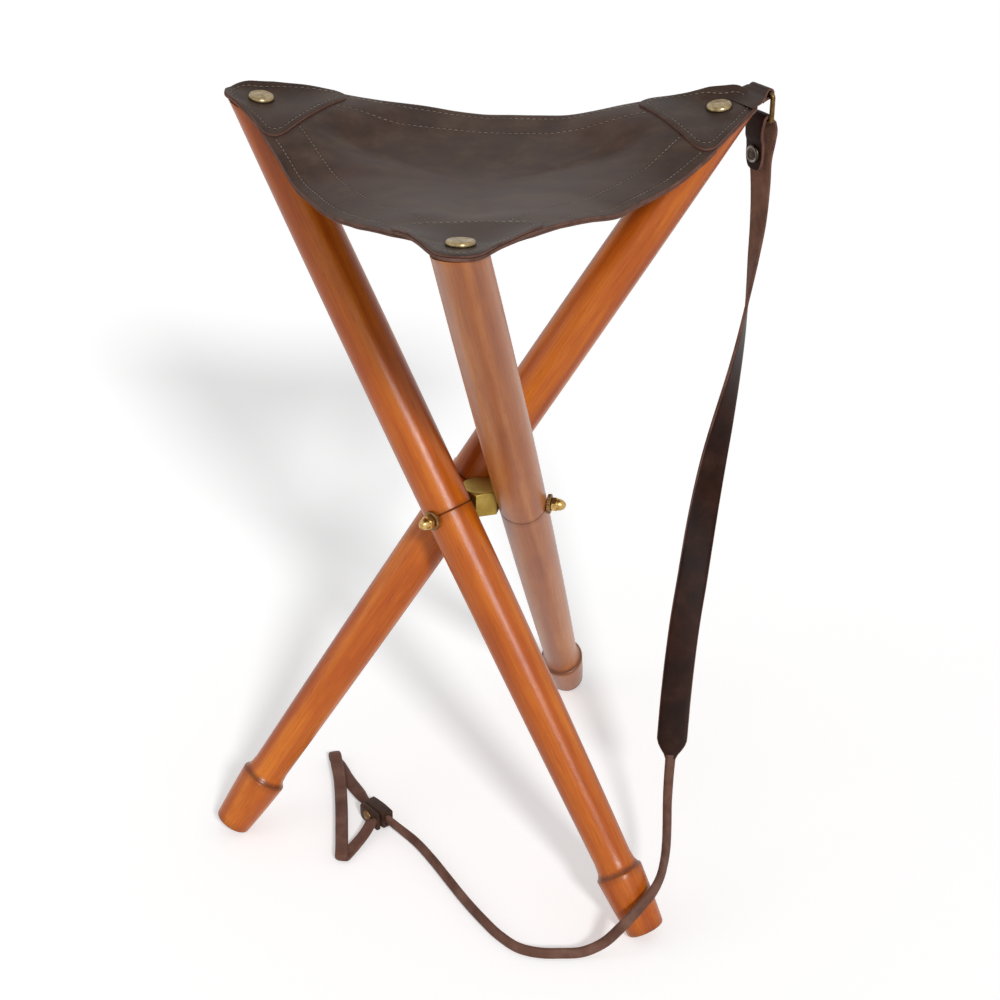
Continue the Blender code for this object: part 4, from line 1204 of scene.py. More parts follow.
@dataclass
class Hub:
    """The brass hub with its studs, toothed washers and acorn nuts."""

    layout: Layout
    leg_radius: float = 0.0193
    height: float = 0.0205
    washer_radius: float = 0.0078
    washer_thick: float = 0.0030
    nut_across: float = 0.0104
    nut_base: float = 0.0046
    nut_height: float = 0.0114
    stud_radius: float = 0.0030
    rise: float = 0.0035
    round_steps: int = 96

    def stud_place(self, k: int) -> Matrix:
        """Placement on a stud's axis at the height the metal shows."""
        return Matrix.Translation(UP * self.rise) @ self.layout.stud(k)

    @property
    def half(self) -> float:
        """Distance from the hub's middle to its flats."""
        return self.layout.pivot_radius - self.leg_radius - GAP

    def circle(self, radius: Callable[[float], float], z: float, steps: int) -> list[Vector]:
        """Return points round Z at a height, with a radius for each angle."""
        angles = [math.tau * n / steps for n in range(steps)]
        return [Vector((radius(a) * math.cos(a), radius(a) * math.sin(a), z)) for a in angles]

    def build_hub(self, finishes: Finishes) -> bpy.types.Object:
        """Make the six-sided hub with its corners turned off at both ends."""
        top = self.height / 2
        corner = self.half / math.cos(math.radians(30))
        rings = []
        for share in (1.0, 0.97, 0.90, 0.80, 0.70, 0.60, 0.50, 0.40, 0.30, 0.20, 0.10, 0.0):
            turned_off = self.half - 0.0006 + (corner - self.half + 0.0008) * (1 - share)
            drop = 0.0021 * (1 - share) ** 1.15
            rings.append(self.circle(lambda a, r=turned_off: min(r, hexagon(a, self.half)), top - drop, self.round_steps))
        for inset, z in ((0.0, 0.0006 - top), (0.0002, 0.0002 - top), (0.0006, -top)):
            rings.append(self.circle(lambda a, d=inset: hexagon(a, self.half - d), z, self.round_steps))
        bm = grow(rings)
        ends = [f for f in bm.faces if len(f.verts) > 8]
        bmesh.ops.inset_region(bm, faces=ends, thickness=0.0022, depth=0.0)
        note_places(bm)
        bmesh.ops.translate(bm, verts=bm.verts[:], vec=self.layout.centre + UP * (self.layout.pivot_z + self.rise))
        obj = finish_piece("hub_block", bm, [finishes.hub], 24.0)
        return carry(obj, "hub", "pivot_hub")

    def build_washer(self, k: int, finishes: Finishes) -> bpy.types.Object:
        """Make one toothed washer."""
        low = self.layout.pivot_radius + self.leg_radius + GAP
        high = low + self.washer_thick
        teeth = 26
        steps = teeth * 6

        def toothed(a: float) -> float:
            """Radius of the toothed rim at an angle."""
            return self.washer_radius - 0.00045 * (0.5 + 0.5 * math.cos(a * teeth)) ** 0.6

        hole = self.stud_radius + GAP
        rings = [self.circle(lambda a: hole, high, steps), self.circle(lambda a: hole, low, steps),
                 self.circle(lambda a: toothed(a) - 0.0003, low, steps), self.circle(toothed, low + 0.0004, steps),
                 self.circle(toothed, high - 0.0004, steps), self.circle(lambda a: toothed(a) - 0.0004, high, steps)]
        bm = grow(rings, closed=True)
        note_places(bm)
        bmesh.ops.transform(bm, matrix=self.stud_place(k), verts=bm.verts[:])
        obj = finish_piece(f"tooth_washer_{k + 1}", bm, [finishes.bronze], 30.0)
        return carry(obj, "hub", f"pivot_washer_{k + 1}")

    def build_nut(self, k: int, finishes: Finishes) -> bpy.types.Object:
        """Make one acorn nut: a chamfered hexagon with a polished dome."""
        low = self.layout.pivot_radius + self.leg_radius + GAP + self.washer_thick + GAP
        half = self.nut_across / 2
        steps = 72
        dome = half * 0.93
        rings = [self.circle(lambda a: half * 0.96, low, steps)]
        for z in (0.0003, 0.0006, 0.0010):
            grown = half * (0.99 + 0.165 * z / 0.0010)
            rings.append(self.circle(lambda a, r=grown: min(r, hexagon(a, half)), low + z, steps))
        for z in (0.0010, 0.0006, 0.0003, 0.0):
            grown = half * (0.99 + 0.165 * z / 0.0010)
            rings.append(self.circle(lambda a, r=grown: min(r, hexagon(a, half)), low + self.nut_base - z, steps))
        rise = self.nut_height - self.nut_base
        rings.append(self.circle(lambda a: dome, low + self.nut_base, steps))
        for n in range(1, 12):
            angle = math.radians(90 * n / 11.6)
            rings.append(self.circle(lambda a, r=dome * math.cos(angle): r, low + self.nut_base + rise * math.sin(angle), steps))
        bm = grow(rings)
        note_places(bm)
        bmesh.ops.transform(bm, matrix=self.stud_place(k), verts=bm.verts[:])
        obj = finish_piece(f"acorn_{k + 1}", bm, [finishes.nut], 26.0)
        return carry(obj, "hub", f"acorn_nut_{k + 1}")

    def build_stud(self, k: int, finishes: Finishes) -> bpy.types.Object:
        """Make one threaded stud from inside the hub to inside its nut."""
        start = self.half - 0.0060
        end = self.layout.pivot_radius + self.leg_radius + 2 * GAP + self.washer_thick + self.nut_base
        r = self.stud_radius
        profile = [(0.0, start), (r - 0.0004, start), (r, start + 0.0004)]
        turns = 7
        first = end - turns * 0.0010 - 0.0006
        for n in range(turns):
            z = first + n * 0.0010
            profile += [(r, z), (r - 0.0003, z + 0.0005)]
        profile += [(r, end - 0.0006), (r - 0.0004, end), (0.0, end)]
        bm = turned(profile, 24)
        note_places(bm)
        bmesh.ops.transform(bm, matrix=self.stud_place(k), verts=bm.verts[:])
        obj = finish_piece(f"threaded_stud_{k + 1}", bm, [finishes.shank], 30.0)
        return carry(obj, "hub", f"pivot_stud_{k + 1}")

    def build(self, finishes: Finishes) -> None:
        """Make all the hub's metal."""
        self.build_hub(finishes)
        for k in range(3):
            self.build_stud(k, finishes)
            self.build_washer(k, finishes)
            self.build_nut(k, finishes)


@dataclass
class SeatCap:
    """The domed brass cap over a seat screw."""

    layout: Layout
    form: SeatForm
    radius: float = 0.0102
    height: float = 0.0036
    wall: float = 0.0008
    inward: float = 0.0028

    def build(self, k: int, finishes: Finishes) -> bpy.types.Object:
        """Spin one cap with a rolled rim and set it on its corner."""
        normal = self.form.corner_normal(k)
        seat = self.form.stack * normal.z + GAP
        r = self.radius
        under = seat + self.height - self.wall
        profile = [(0.0, under), (r * 0.5, under), (r * 0.82, under - 0.0004), (r - self.wall, seat + 0.0012),
                   (r - self.wall, seat), (r - 0.0004, seat), (r, seat + 0.0004), (r, seat + 0.0012)]
        for inside, drop in ((0.0003, 0.0016), (0.0007, 0.0009), (0.0012, 0.0005), (0.0018, 0.0003), (0.0025, 0.0003),
                             (0.0030, 0.0005), (0.0034, 0.0007), (0.0040, 0.0006), (0.0060, 0.0003), (0.0080, 0.0001)):
            profile.append((r - inside, seat + self.height - drop))
        profile.append((0.0, seat + self.height))
        bm = turned(profile, 56)
        note_places(bm, Vector((0.05 * k, 0.03 * k, 0)))
        turn = UP.rotation_difference(normal).to_matrix().to_4x4()
        spot = self.layout.end(k) - self.layout.out(k) * self.inward
        drop = self.inward * self.form.corner_shape()[1]
        above = self.layout.seat_z + self.form.lift - drop
        place = Matrix.Translation(self.layout.centre + spot + UP * above) @ turn
        bmesh.ops.transform(bm, matrix=place, verts=bm.verts[:])
        obj = finish_piece(f"dome_cap_{k + 1}", bm, [finishes.brass], 40.0)
        return carry(obj, f"leg_{k + 1}", f"seat_cap_{k + 1}")


@dataclass
class Seat:
    """The sling seat: its panel in three sectors, corner patches, edge bands and stitching."""

    layout: Layout
    form: SeatForm
    patch_inner: tuple[float, ...] = (0.0515, 0.0525, 0.0590)
    patch_round: float = 0.0180
    band_wide: float = 0.0345
    band_end: float = 0.0420
    band_thick: float = 0.0016
    row_outer: float = 0.0065
    row_inner: float = 0.0290
    patch_row: float = 0.0048
    pitch: float = 0.0046
    stitch: float = 0.0033
    thread: float = 0.00042
    fold_start: float = 0.0660
    fold_end: float = 0.1900

    def fold(self, obj: bpy.types.Object, k: int) -> None:
        """Let a piece of the seat bend between the middle and a corner."""
        out = self.layout.out(k)
        base = self.layout.centre + UP * self.layout.seat_z
        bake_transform(obj, "seat_center", f"seat_corner_{k + 1}", base + out * self.fold_start, base + out * self.fold_end)

    def patch_depth(self, k: int, point: Vector) -> float:
        """Distance inside a corner patch's outline."""
        rim = self.form.edge_distance(point) - 0.0004
        inner = (point - self.layout.end(k)).dot(self.layout.out(k)) + self.patch_inner[k]
        r = self.patch_round
        if rim < r and inner < r:
            return r - math.hypot(r - rim, r - inner)
        return min(rim, inner)

    def patch_contour(self, k: int, inside: float, count: int) -> list[Vector]:
        """Return a corner patch's outline, or a line a distance inside it, anticlockwise."""
        middle = self.layout.end(k) - self.layout.out(k) * 0.014
        points = []
        for n in range(count):
            a = math.tau * n / count
            way = Vector((math.cos(a), math.sin(a), 0))
            low = 0.0
            high = 0.12
            for _ in range(26):
                mid = (low + high) / 2
                if self.patch_depth(k, middle + way * mid) > inside:
                    low = mid
                else:
                    high = mid
            points.append(middle + way * low)
        return points

    def sector_outline(self, k: int) -> list[Vector]:
        """Return the outline of one sector from mid side to mid side round its tip."""
        before = (k + 2) % 3
        points = [self.form.side_point(before, 0.5 + 0.5 * n / 34) for n in range(34)]
        points += [self.form.tip_point(k, n / 22) for n in range(22)]
        points += [self.form.side_point(k, 0.5 * n / 34) for n in range(35)]
        return points

    def build_sector(self, k: int, finishes: Finishes) -> bpy.types.Object:
        """Make one third of the panel."""
        outline = self.sector_outline(k)
        shares = [n / 30 for n in range(30)] + [0.985, 1.0]
        rings = [[self.form.on_top(p * f) for p in outline] for f in shares]
        bm = grow(rings, loop=False)
        bmesh.ops.remove_doubles(bm, verts=bm.verts[:], dist=1e-6)
        rim = bm.verts.layers.float[RIM]
        for vert in bm.verts:
            vert[rim] = self.form.edge_distance(vert.co - self.layout.centre - UP * vert.co.z)
        note_places(bm)
        thicken(bm, self.form.panel)
        border = [e for e in bm.edges if {f.material_index for f in e.link_faces} in ({0, 2}, {1, 2})
                  and all(v[rim] < 1e-4 for v in e.verts)]
        soften(bm, border, 0.0006)
        obj = finish_piece(f"seat_sector_{k + 1}", bm, [finishes.seat, finishes.flesh, finishes.edge], 50.0)
        self.fold(obj, k)
        return obj

    def build_patch(self, k: int, finishes: Finishes) -> bpy.types.Object:
        """Make the leather patch on a corner."""
        contour = self.patch_contour(k, 0.0, 120)
        middle = self.layout.end(k) - self.layout.out(k) * 0.014
        shares = (0.0, 0.15, 0.3, 0.45, 0.6, 0.72, 0.82, 0.9, 0.96, 1.0)
        lift = GAP + self.form.patch
        rings = []
        for share in shares:
            press = 0.0004 * ease((share - 0.9) / 0.1)
            rings.append([self.form.on_top(middle.lerp(p, share), lift - press) for p in contour])
        bm = grow(rings, caps=False)
        bmesh.ops.remove_doubles(bm, verts=bm.verts[:], dist=1e-6)
        rim = bm.verts.layers.float[RIM]
        for vert in bm.verts:
            vert[rim] = self.patch_depth(k, vert.co - self.layout.centre - UP * vert.co.z)
        note_places(bm, Vector((0.31, 0.17 * k, 0)))
        thicken(bm, self.form.patch - 0.0004)
        border = [e for e in bm.edges if {f.material_index for f in e.link_faces} == {0, 2}]
        soften(bm, border, 0.0005)
        obj = finish_piece(f"corner_leather_{k + 1}", bm, [finishes.patch, finishes.flesh, finishes.edge], 50.0)
        self.fold(obj, k)
        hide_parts(f"corner_patch_{k + 1}")
        return obj

    def build_band(self, k: int, side: int, ahead: bool, finishes: Finishes) -> bpy.types.Object:
        """Make half of the band under a side.

        Args:
            k: Sector it bends with.
            side: Side of the seat.
            ahead: True for the half at the side's start.
            finishes: The finishes.

        Returns:
            The band.
        """
        length = self.form.side_frame(side)[3]
        first = self.band_end / length
        steps = [first + (0.5 - first) * n / 22 for n in range(23)]
        if not ahead:
            steps = [1 - t for t in steps[::-1]]
        drop = -self.form.panel - GAP
        across = (0.0003, 0.005, 0.011, 0.018, 0.026, self.band_wide)
        rings = []
        for t in steps:
            from_end = (min(t, 1 - t) - first) * length
            inset = 0.0060 * (1 - ease(from_end / 0.0240))
            rings.append([self.form.on_top(self.form.side_point(side, t, max(d, inset + 0.1 * d)), drop) for d in across])
        bm = grow(rings, loop=False)
        note_places(bm, Vector((0.7, 0.2 * side, 0)))
        thicken(bm, self.band_thick)
        mark = bm.verts.layers.int[MARK]
        border = [e for e in bm.edges if {f.material_index for f in e.link_faces} in ({0, 2}, {1, 2})
                  and (all(v[mark] == 0 for v in e.verts) or all(v[mark] == len(across) - 1 for v in e.verts))]
        soften(bm, border, 0.0005)
        obj = finish_piece(f"band_{side + 1}_{'a' if ahead else 'b'}", bm, [finishes.flesh, finishes.flesh, finishes.edge],
                           50.0)
        self.fold(obj, k)
        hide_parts(f"edge_band_{side + 1}")
        return obj

    def row_places(self, k: int) -> list[tuple[Vector, Vector, float]]:
        """Return (start, end, lift) of every stitch in one sector."""
        lines: list[tuple[list[Vector], float]] = []
        contour = self.patch_contour(k, self.patch_row, 480)
        lines.append((contour + contour[:1], GAP + self.form.patch))
        for side, ahead in ((k, True), ((k + 2) % 3, False)):
            for inside in (self.row_outer, self.row_inner):
                ts = [0.5 * n / 240 if ahead else 0.5 + 0.5 * n / 240 for n in range(241)]
                points = [self.form.side_point(side, t, inside) for t in ts]
                lines.append(([p for p in points if self.patch_depth(k, p) < -0.0015], 0.0))
        result = []
        for points, lift in lines:
            run = distances(points)
            count = max(1, round(run[-1] / self.pitch))
            pitch = run[-1] / count

            def at(d: float) -> Vector:
                """Place on the line at a distance along it."""
                n = min(max(bisect_right(run, d) - 1, 0), len(points) - 2)
                return points[n].lerp(points[n + 1], (d - run[n]) / max(1e-9, run[n + 1] - run[n]))

            for n in range(count):
                middle = (n + 0.5) * pitch
                result.append((at(middle - self.stitch / 2), at(middle + self.stitch / 2), lift))
        return result

    def build_stitches(self, k: int, finishes: Finishes) -> bpy.types.Object:
        """Sew one sector: each stitch is a short plump strand half sunk in the leather."""
        bm = fresh()
        for start, end, lift in self.row_places(k):
            a = self.form.on_top(start, lift)
            b = self.form.on_top(end, lift)
            along = (b - a).normalized()
            side = UP.cross(along).normalized()
            turn = Matrix((along, side, along.cross(side))).transposed().to_4x4()
            shape = Matrix.Diagonal(((b - a).length / 2, self.thread, self.thread * 0.9, 1.0))
            place = Matrix.Translation((a + b) / 2 + UP * self.thread * 0.15) @ turn @ shape
            ball = Matrix.Rotation(math.radians(90), 4, "Y")
            bmesh.ops.create_uvsphere(bm, u_segments=7, v_segments=5, radius=1.0, matrix=place @ ball)
        note_places(bm)
        obj = finish_piece(f"stitching_{k + 1}", bm, [finishes.thread], 80.0)
        self.fold(obj, k)
        return obj

    def build(self, finishes: Finishes) -> None:
        """Make the whole seat."""
        area = sum(0.5 * abs(a.x * b.y - a.y * b.x) for k in range(3)
                   for a, b in zip(self.sector_outline(k), self.sector_outline(k)[1:])) / 3
        for k in range(3):
            sector = self.build_sector(k, finishes)
            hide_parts("seat_panel")
            extras = [self.build_patch(k, finishes), self.build_band(k, k, True, finishes),
                      self.build_band(k, (k + 2) % 3, False, finishes), self.build_stitches(k, finishes)]


@dataclass
class Carrier:
    """The ring on its tab, with the strap, thong, keeper and end loop that hang from it."""

    layout: Layout
    form: SeatForm
    tab_angle: float = math.radians(45.94)
    tab_start: float = 0.0110
    tab_flare: float = 0.0430
    tab: Ribbon = Ribbon(0.0225, 0.0020, 0.0006)
    roll_beyond: float = 0.0095
    roll_rise: float = 0.0022
    wire: float = 0.0020
    ring_width: float = 0.0285
    ring_height: float = 0.0215
    ring_corner: float = 0.0029
    strap: Ribbon = Ribbon(0.0250, 0.0026, 0.0007, 0.0004, 8)
    flap_length: float = 0.0412
    flap_near: float = 0.0022
    press_drop: float = 0.0286
    press_radius: float = 0.0072
    thong: Ribbon = Ribbon(0.0084, 0.0036, 0.0015, 0.0004)
    neck: float = 0.0165
    loop_width: float = 0.0108
    loop_lift: float = 0.0010
    keeper_length: float = 0.0265
    keeper_wall: float = 0.0031
    keeper_place: tuple[float, float, float] = (-0.0810, -0.0370, 0.0092)
    keeper_angle: float = math.radians(142)
    tab_depth: float = 0.0036
    tab_tall: float = 0.0168
    tab_span: tuple[float, float] = (-0.0110, 0.0150)
    rivet_shift: float = 0.0030
    rivet_radius: float = 0.0050
    strap_route: tuple = (
        ((0.1900, 0.1590, 0.528), 131), ((0.1902, 0.1585, 0.494), 122), ((0.1883, 0.1560, 0.461), 110),
        ((0.1862, 0.1515, 0.428), 95), ((0.1837, 0.1440, 0.396), 82), ((0.1800, 0.1340, 0.364), 69),
        ((0.1756, 0.1217, 0.333), 55), ((0.1714, 0.1074, 0.303), 42), ((0.1682, 0.0922, 0.273), 31),
        ((0.1660, 0.0765, 0.244), 22), ((0.1642, 0.0608, 0.2144), 15), ((0.1622, 0.0449, 0.185), 10),
        ((0.1614, 0.0284, 0.1563), 7), ((0.1614, 0.0120, 0.1275), 6), ((0.1622, -0.0050, 0.0995), 6),
        ((0.1626, -0.0135, 0.0862), 6))
    thong_route: tuple = (
        ((0.1627, -0.0139, 0.0856), (0.3, -0.80, 0.5)), ((0.1634, -0.0240, 0.0745), (0.5, -0.65, 0.6)),
        ((0.1652, -0.0400, 0.0630), (0.7, -0.40, 0.6)), ((0.1683, -0.0600, 0.0535), (0.7, -0.35, 0.6)),
        ((0.1708, -0.0800, 0.0487), (0.7, -0.25, 0.6)), ((0.1720, -0.1000, 0.0470), (0.8, -0.20, 0.5)),
        ((0.1716, -0.1200, 0.0465), (0.8, -0.35, 0.4)), ((0.1678, -0.1390, 0.0455), (0.6, -0.65, 0.4)),
        ((0.1590, -0.1530, 0.0385), (0.3, -0.85, 0.4)), ((0.1480, -0.1610, 0.0262), (0.1, -0.90, 0.4)),
        ((0.1360, -0.1660, 0.0135), (0.0, -0.90, 0.4)), ((0.1210, -0.1715, 0.0064), (0.0, -0.90, 0.4)),
        ((0.1036, -0.1763, 0.0056), (-0.05, -0.90, 0.42)), ((0.0885, -0.1790, 0.0054), (-0.1, -0.90, 0.42)),
        ((0.0725, -0.1775, 0.0054), (-0.3, -0.85, 0.42)), ((0.0540, -0.1665, 0.0054), (-0.55, -0.70, 0.42)),
        ((0.0345, -0.1485, 0.0054), (-0.65, -0.62, 0.42)), ((0.0160, -0.1290, 0.0054), (-0.67, -0.60, 0.42)),
        ((-0.0025, -0.1075, 0.0054), (-0.67, -0.60, 0.42)), ((-0.0215, -0.0855, 0.0056), (-0.66, -0.62, 0.38)),
        ((-0.0420, -0.0652, 0.0065), (-0.64, -0.68, 0.25)), ((-0.0585, -0.0535, 0.0080), (-0.62, -0.76, 0.08)))
    loop_route: tuple = (
        ((-0.1024, -0.0160, 0.0072), (0.45, 0.35, 0.80)), ((-0.1212, 0.0077, 0.0045), (0.75, 0.50, 0.40)),
        ((-0.1352, 0.0290, 0.0024), (0.87, 0.48, 0.05)), ((-0.1430, 0.0395, 0.0020), (0.88, 0.47, 0.0)),
        ((-0.1438, 0.0410, 0.0026), (0.88, 0.47, 0.0)), ((-0.1441, 0.0416, 0.0041), (0.88, 0.47, 0.0)),
        ((-0.1438, 0.0410, 0.0056), (0.88, 0.47, 0.0)), ((-0.1430, 0.0395, 0.0062), (0.88, 0.47, 0.0)),
        ((-0.1372, 0.0260, 0.0062), (0.89, 0.45, 0.0)), ((-0.1302, 0.0098, 0.0058), (0.92, 0.38, 0.0)),
        ((-0.1176, -0.0260, 0.0054), (0.94, 0.32, 0.0)), ((-0.1056, -0.0651, 0.0056), (0.96, 0.27, 0.0)),
        ((-0.0988, -0.0880, 0.0061), (0.98, 0.18, 0.0)), ((-0.0965, -0.0965, 0.0062), (1.0, 0.05, 0.0)),
        ((-0.0962, -0.0980, 0.0056), (1.0, 0.0, 0.0)), ((-0.0960, -0.0986, 0.0041), (1.0, 0.0, 0.0)),
        ((-0.0957, -0.0980, 0.0026), (1.0, 0.0, 0.0)), ((-0.0953, -0.0965, 0.0020), (1.0, -0.05, 0.0)),
        ((-0.0924, -0.0872, 0.0022), (0.97, -0.25, 0.0)), ((-0.0893, -0.0776, 0.0034), (0.95, -0.30, 0.10)),
        ((-0.0862, -0.0670, 0.0050), (0.93, -0.28, 0.20)), ((-0.0843, -0.0560, 0.0066), (0.93, -0.20, 0.30)),
        ((-0.0838, -0.0480, 0.0076), (0.93, -0.10, 0.35)))

    def here(self, place: Sequence[float]) -> Vector:
        """Bring a place of the route into the row frame."""
        return Vector(place) + self.layout.centre

    @property
    def out(self) -> Vector:
        """Direction in which the tab points."""
        return Vector((math.cos(self.tab_angle), math.sin(self.tab_angle), 0))

    @property
    def corner(self) -> Vector:
        """Middle of the leg end under the tab."""
        return self.layout.centre + self.layout.end(0) + UP * (self.layout.seat_z + self.form.lift)

    @property
    def bar(self) -> Vector:
        """Middle of the ring's upper bar, in the tab's roll."""
        tip = self.form.stack + self.form.reach * self.form.corner_shape()[1]
        return self.corner + self.out * (self.form.reach + self.roll_beyond) + UP * (tip + self.roll_rise)

    def build_tab(self, finishes: Finishes) -> bpy.types.Object:
        """Make the tongue that lies on the corner and rolls round the ring's upper bar."""
        lying = self.form.stack + GAP
        slope = self.form.corner_shape()[1]
        roll = self.wire + GAP + self.tab.depth / 2
        away = self.form.reach + self.roll_beyond
        up = self.bar.z - self.corner.z
        path = []
        depths = []
        for n in range(9):
            reach = self.tab_start + (self.form.reach - self.tab_start) * n / 8
            depths.append(0.0003 + (self.tab.depth - 0.0003) * ease(n / 8))
            path.append((reach, lying + slope * reach + depths[-1] / 2))
        bend = [(away + roll * math.cos(math.radians(a)), up + roll * math.sin(math.radians(a)))
                for a in range(140, -106, -14)]
        for t in (0.25, 0.5, 0.75):
            rise = path[8][1] + (bend[0][1] - path[8][1]) * ease(t)
            path.append((path[8][0] + (bend[0][0] - path[8][0]) * t, rise))
        path += bend
        path += [(away - roll * a, up - roll * b) for a, b in ((0.85, 1.2), (1.2, 1.32), (1.6, 1.48), (2.05, 1.75))]
        places = [self.corner + self.out * s + UP * z for s, z in path]
        widths = []
        for n, (s, _) in enumerate(path):
            flare = 1 - ease((s - self.tab_start) / (away - self.tab_start)) ** 2 if n < 12 else 0.0
            widths.append(self.tab.width + (self.tab_flare - self.tab.width) * flare)
        depths += [self.tab.depth] * (len(places) - len(depths))
        bm = self.tab.sweep(places, [UP.cross(self.out)] * len(places), widths, depths)
        obj = finish_piece("rolled_tab", bm, [finishes.tab, finishes.tab, finishes.edge])
        return carry(obj, "seat_corner_1", "ring_tab")

    def build_ring(self, finishes: Finishes) -> bpy.types.Object:
        """Bend the wire ring with straight bars for the tab and the strap."""
        side = UP.cross(self.out)
        half_w = self.ring_width / 2 - self.ring_corner
        half_h = self.ring_height / 2 - self.ring_corner
        middle = self.bar - UP * self.ring_height / 2
        places = []
        for quarter, (cx, cz) in enumerate(((half_w, half_h), (-half_w, half_h), (-half_w, -half_h), (half_w, -half_h))):
            for n in range(9):
                a = math.radians(90 * quarter + 90 * n / 8)
                places.append(middle + side * (cx + self.ring_corner * math.cos(a))
                              + UP * (cz + self.ring_corner * math.sin(a)))
        rings = []
        count = len(places)
        for n, place in enumerate(places):
            heading = (places[(n + 1) % count] - places[n - 1]).normalized()
            across = heading.cross(self.out)
            rings.append([place + (self.out * math.cos(a) + across * math.sin(a)) * self.wire
                          for a in (math.tau * m / 20 for m in range(20))])
        bm = grow(rings, closed=True)
        note_places(bm)
        obj = finish_piece("wire_ring", bm, [finishes.ring], 60.0)
        return carry(obj, "hanging_strap", "strap_ring")

    def strap_line(self) -> tuple[list[Vector], list[Vector], list[float]]:
        """Return the strap's places, width directions and widths from flap tip to shoulder."""
        bar = self.bar - UP * self.ring_height
        turn = self.wire + GAP + self.strap.depth / 2
        near = self.flap_near
        drops = [(near, self.flap_length - self.flap_length * 0.42 * n / 18) for n in range(18)]
        front = ((near, self.flap_length * 0.58), (near + 0.0003, 0.0200), (0.0041, 0.014), (0.0043, 0.009), (0.0041, 0.0035))
        for (a, b), (c, d) in zip(front, front[1:]):
            drops += [(a + (c - a) * ease(n / 4), b + (d - b) * n / 4) for n in range(4)]
        places = [bar - self.out * offset - UP * drop for offset, drop in drops]
        for degrees in range(180, -1, -12):
            a = math.radians(degrees)
            places.append(bar + self.out * turn * math.cos(a) + UP * turn * math.sin(a))
        level = math.degrees(self.tab_angle) + 90
        turns = [level] * len(places)
        hanging = [bar + self.out * offset - UP * drop for offset, drop in ((0.0060, 0.002), (0.0078, 0.008),
                                                                             (0.0068, 0.018), (0.0042, 0.032))]
        points = hanging + [self.here(p) for p, _ in self.strap_route]
        angles = [level] * len(hanging) + [a for _, a in self.strap_route]
        for place, k, t in smooth_route(points, 0.0036):
            places.append(place)
            turns.append(angles[k] + (angles[k + 1] - angles[k]) * t)
        run = distances(places)
        widths = []
        for d in run:
            nose = math.sqrt(max(0.0, 1 - (1 - min(1.0, d / 0.0125)) ** 2))
            left = run[-1] - d
            share = min(1.0, max(0.0, left - 0.0010) / self.neck)
            neck = ease(share ** 0.72)
            full = self.strap.width * (0.80 + 0.20 * ease((d - 0.030) / 0.022))
            width = min(0.009 + (full - 0.009) * nose,
                        self.thong.width + (self.strap.width - self.thong.width) * neck)
            widths.append(width)
        wides = [Vector((math.cos(math.radians(a)), math.sin(math.radians(a)), 0)) for a in turns]
        return places, wides, widths

    def build_strap(self, finishes: Finishes) -> bpy.types.Object:
        """Make the flat strap, folded round the ring and twisting as it hangs."""
        places, wides, widths = self.strap_line()
        bm = self.strap.sweep(places, wides, widths)
        obj = finish_piece("flat_strap", bm, [finishes.strap, finishes.flesh, finishes.edge])
        carry(obj, "hanging_strap", "carry_strap")
        leave = self.bar - UP * (self.ring_height + 0.020) - self.out * self.flap_near
        return obj

    def build_press_stud(self, finishes: Finishes) -> bpy.types.Object:
        """Make the press stud on the flap: a dark disc with a raised rim and a plain middle."""
        side = UP.cross(self.out)
        away = self.flap_near + self.strap.depth / 2 + self.strap.crown
        face = self.bar - UP * (self.ring_height + self.press_drop) - self.out * away
        r = self.press_radius
        profile = [(0.0, 0.0), (r - 0.0003, 0.0), (r, 0.0003), (r, 0.0011), (r - 0.0003, 0.0017), (r - 0.0008, 0.0021),
                   (r - 0.0014, 0.0023), (r - 0.0020, 0.0022), (r - 0.0025, 0.0018), (r - 0.0029, 0.0015),
                   (r * 0.45, 0.0016), (r * 0.25, 0.0018), (0.0, 0.0019)]
        bm = turned(profile, 56)
        for polygon in bm.faces:
            middle = polygon.calc_center_median()
            across = math.hypot(middle.x, middle.y)
            polygon.material_index = 1 if r - 0.0024 < across < r - 0.0009 and middle.z > 0.0015 else 0
        note_places(bm)
        turn = Matrix((side, UP, -self.out)).transposed().to_4x4()
        bmesh.ops.transform(bm, matrix=Matrix.Translation(face) @ turn, verts=bm.verts[:])
        obj = finish_piece("press_button", bm, [finishes.dark, finishes.shank], 50.0)
        return carry(obj, "hanging_strap", "press_stud")

    @property
    def keeper_along(self) -> Vector:
        """Direction of the thong through the keeper."""
        return Vector((math.cos(self.keeper_angle), math.sin(self.keeper_angle), 0))

    @property
    def channel(self) -> Vector:
        """Middle of the keeper's channel."""
        return self.here(self.keeper_place)

    def build_thong(self, finishes: Finishes) -> bpy.types.Object:
        """Make the thong from the strap's shoulder over the floor into the keeper."""
        along = self.keeper_along
        channel = self.channel
        points = [self.here(p) for p, _ in self.thong_route]
        faces = [Vector(f).normalized() for _, f in self.thong_route]
        start = self.here(self.strap_route[-2][0]) - self.here(self.strap_route[-1][0])
        points.insert(0, points[0] + start.normalized() * 0.0040)
        faces.insert(0, faces[0])
        points += [channel - along * 0.0150, channel - along * 0.0004]
        faces += [UP.cross(along)] * 2
        route = smooth_route(points, 0.0032)
        places = [r[0] for r in route]
        wides = []
        for (_, k, t), heading in zip(route, directions(places)):
            wides.append(square_to(faces[k].lerp(faces[k + 1], t), heading).cross(heading))
        bm = self.thong.sweep(places, wides, [self.thong.width] * len(places))
        obj = finish_piece("floor_thong", bm, [finishes.thong, finishes.thong, finishes.thong])
        carry(obj, "hanging_strap", "thong")
        return obj

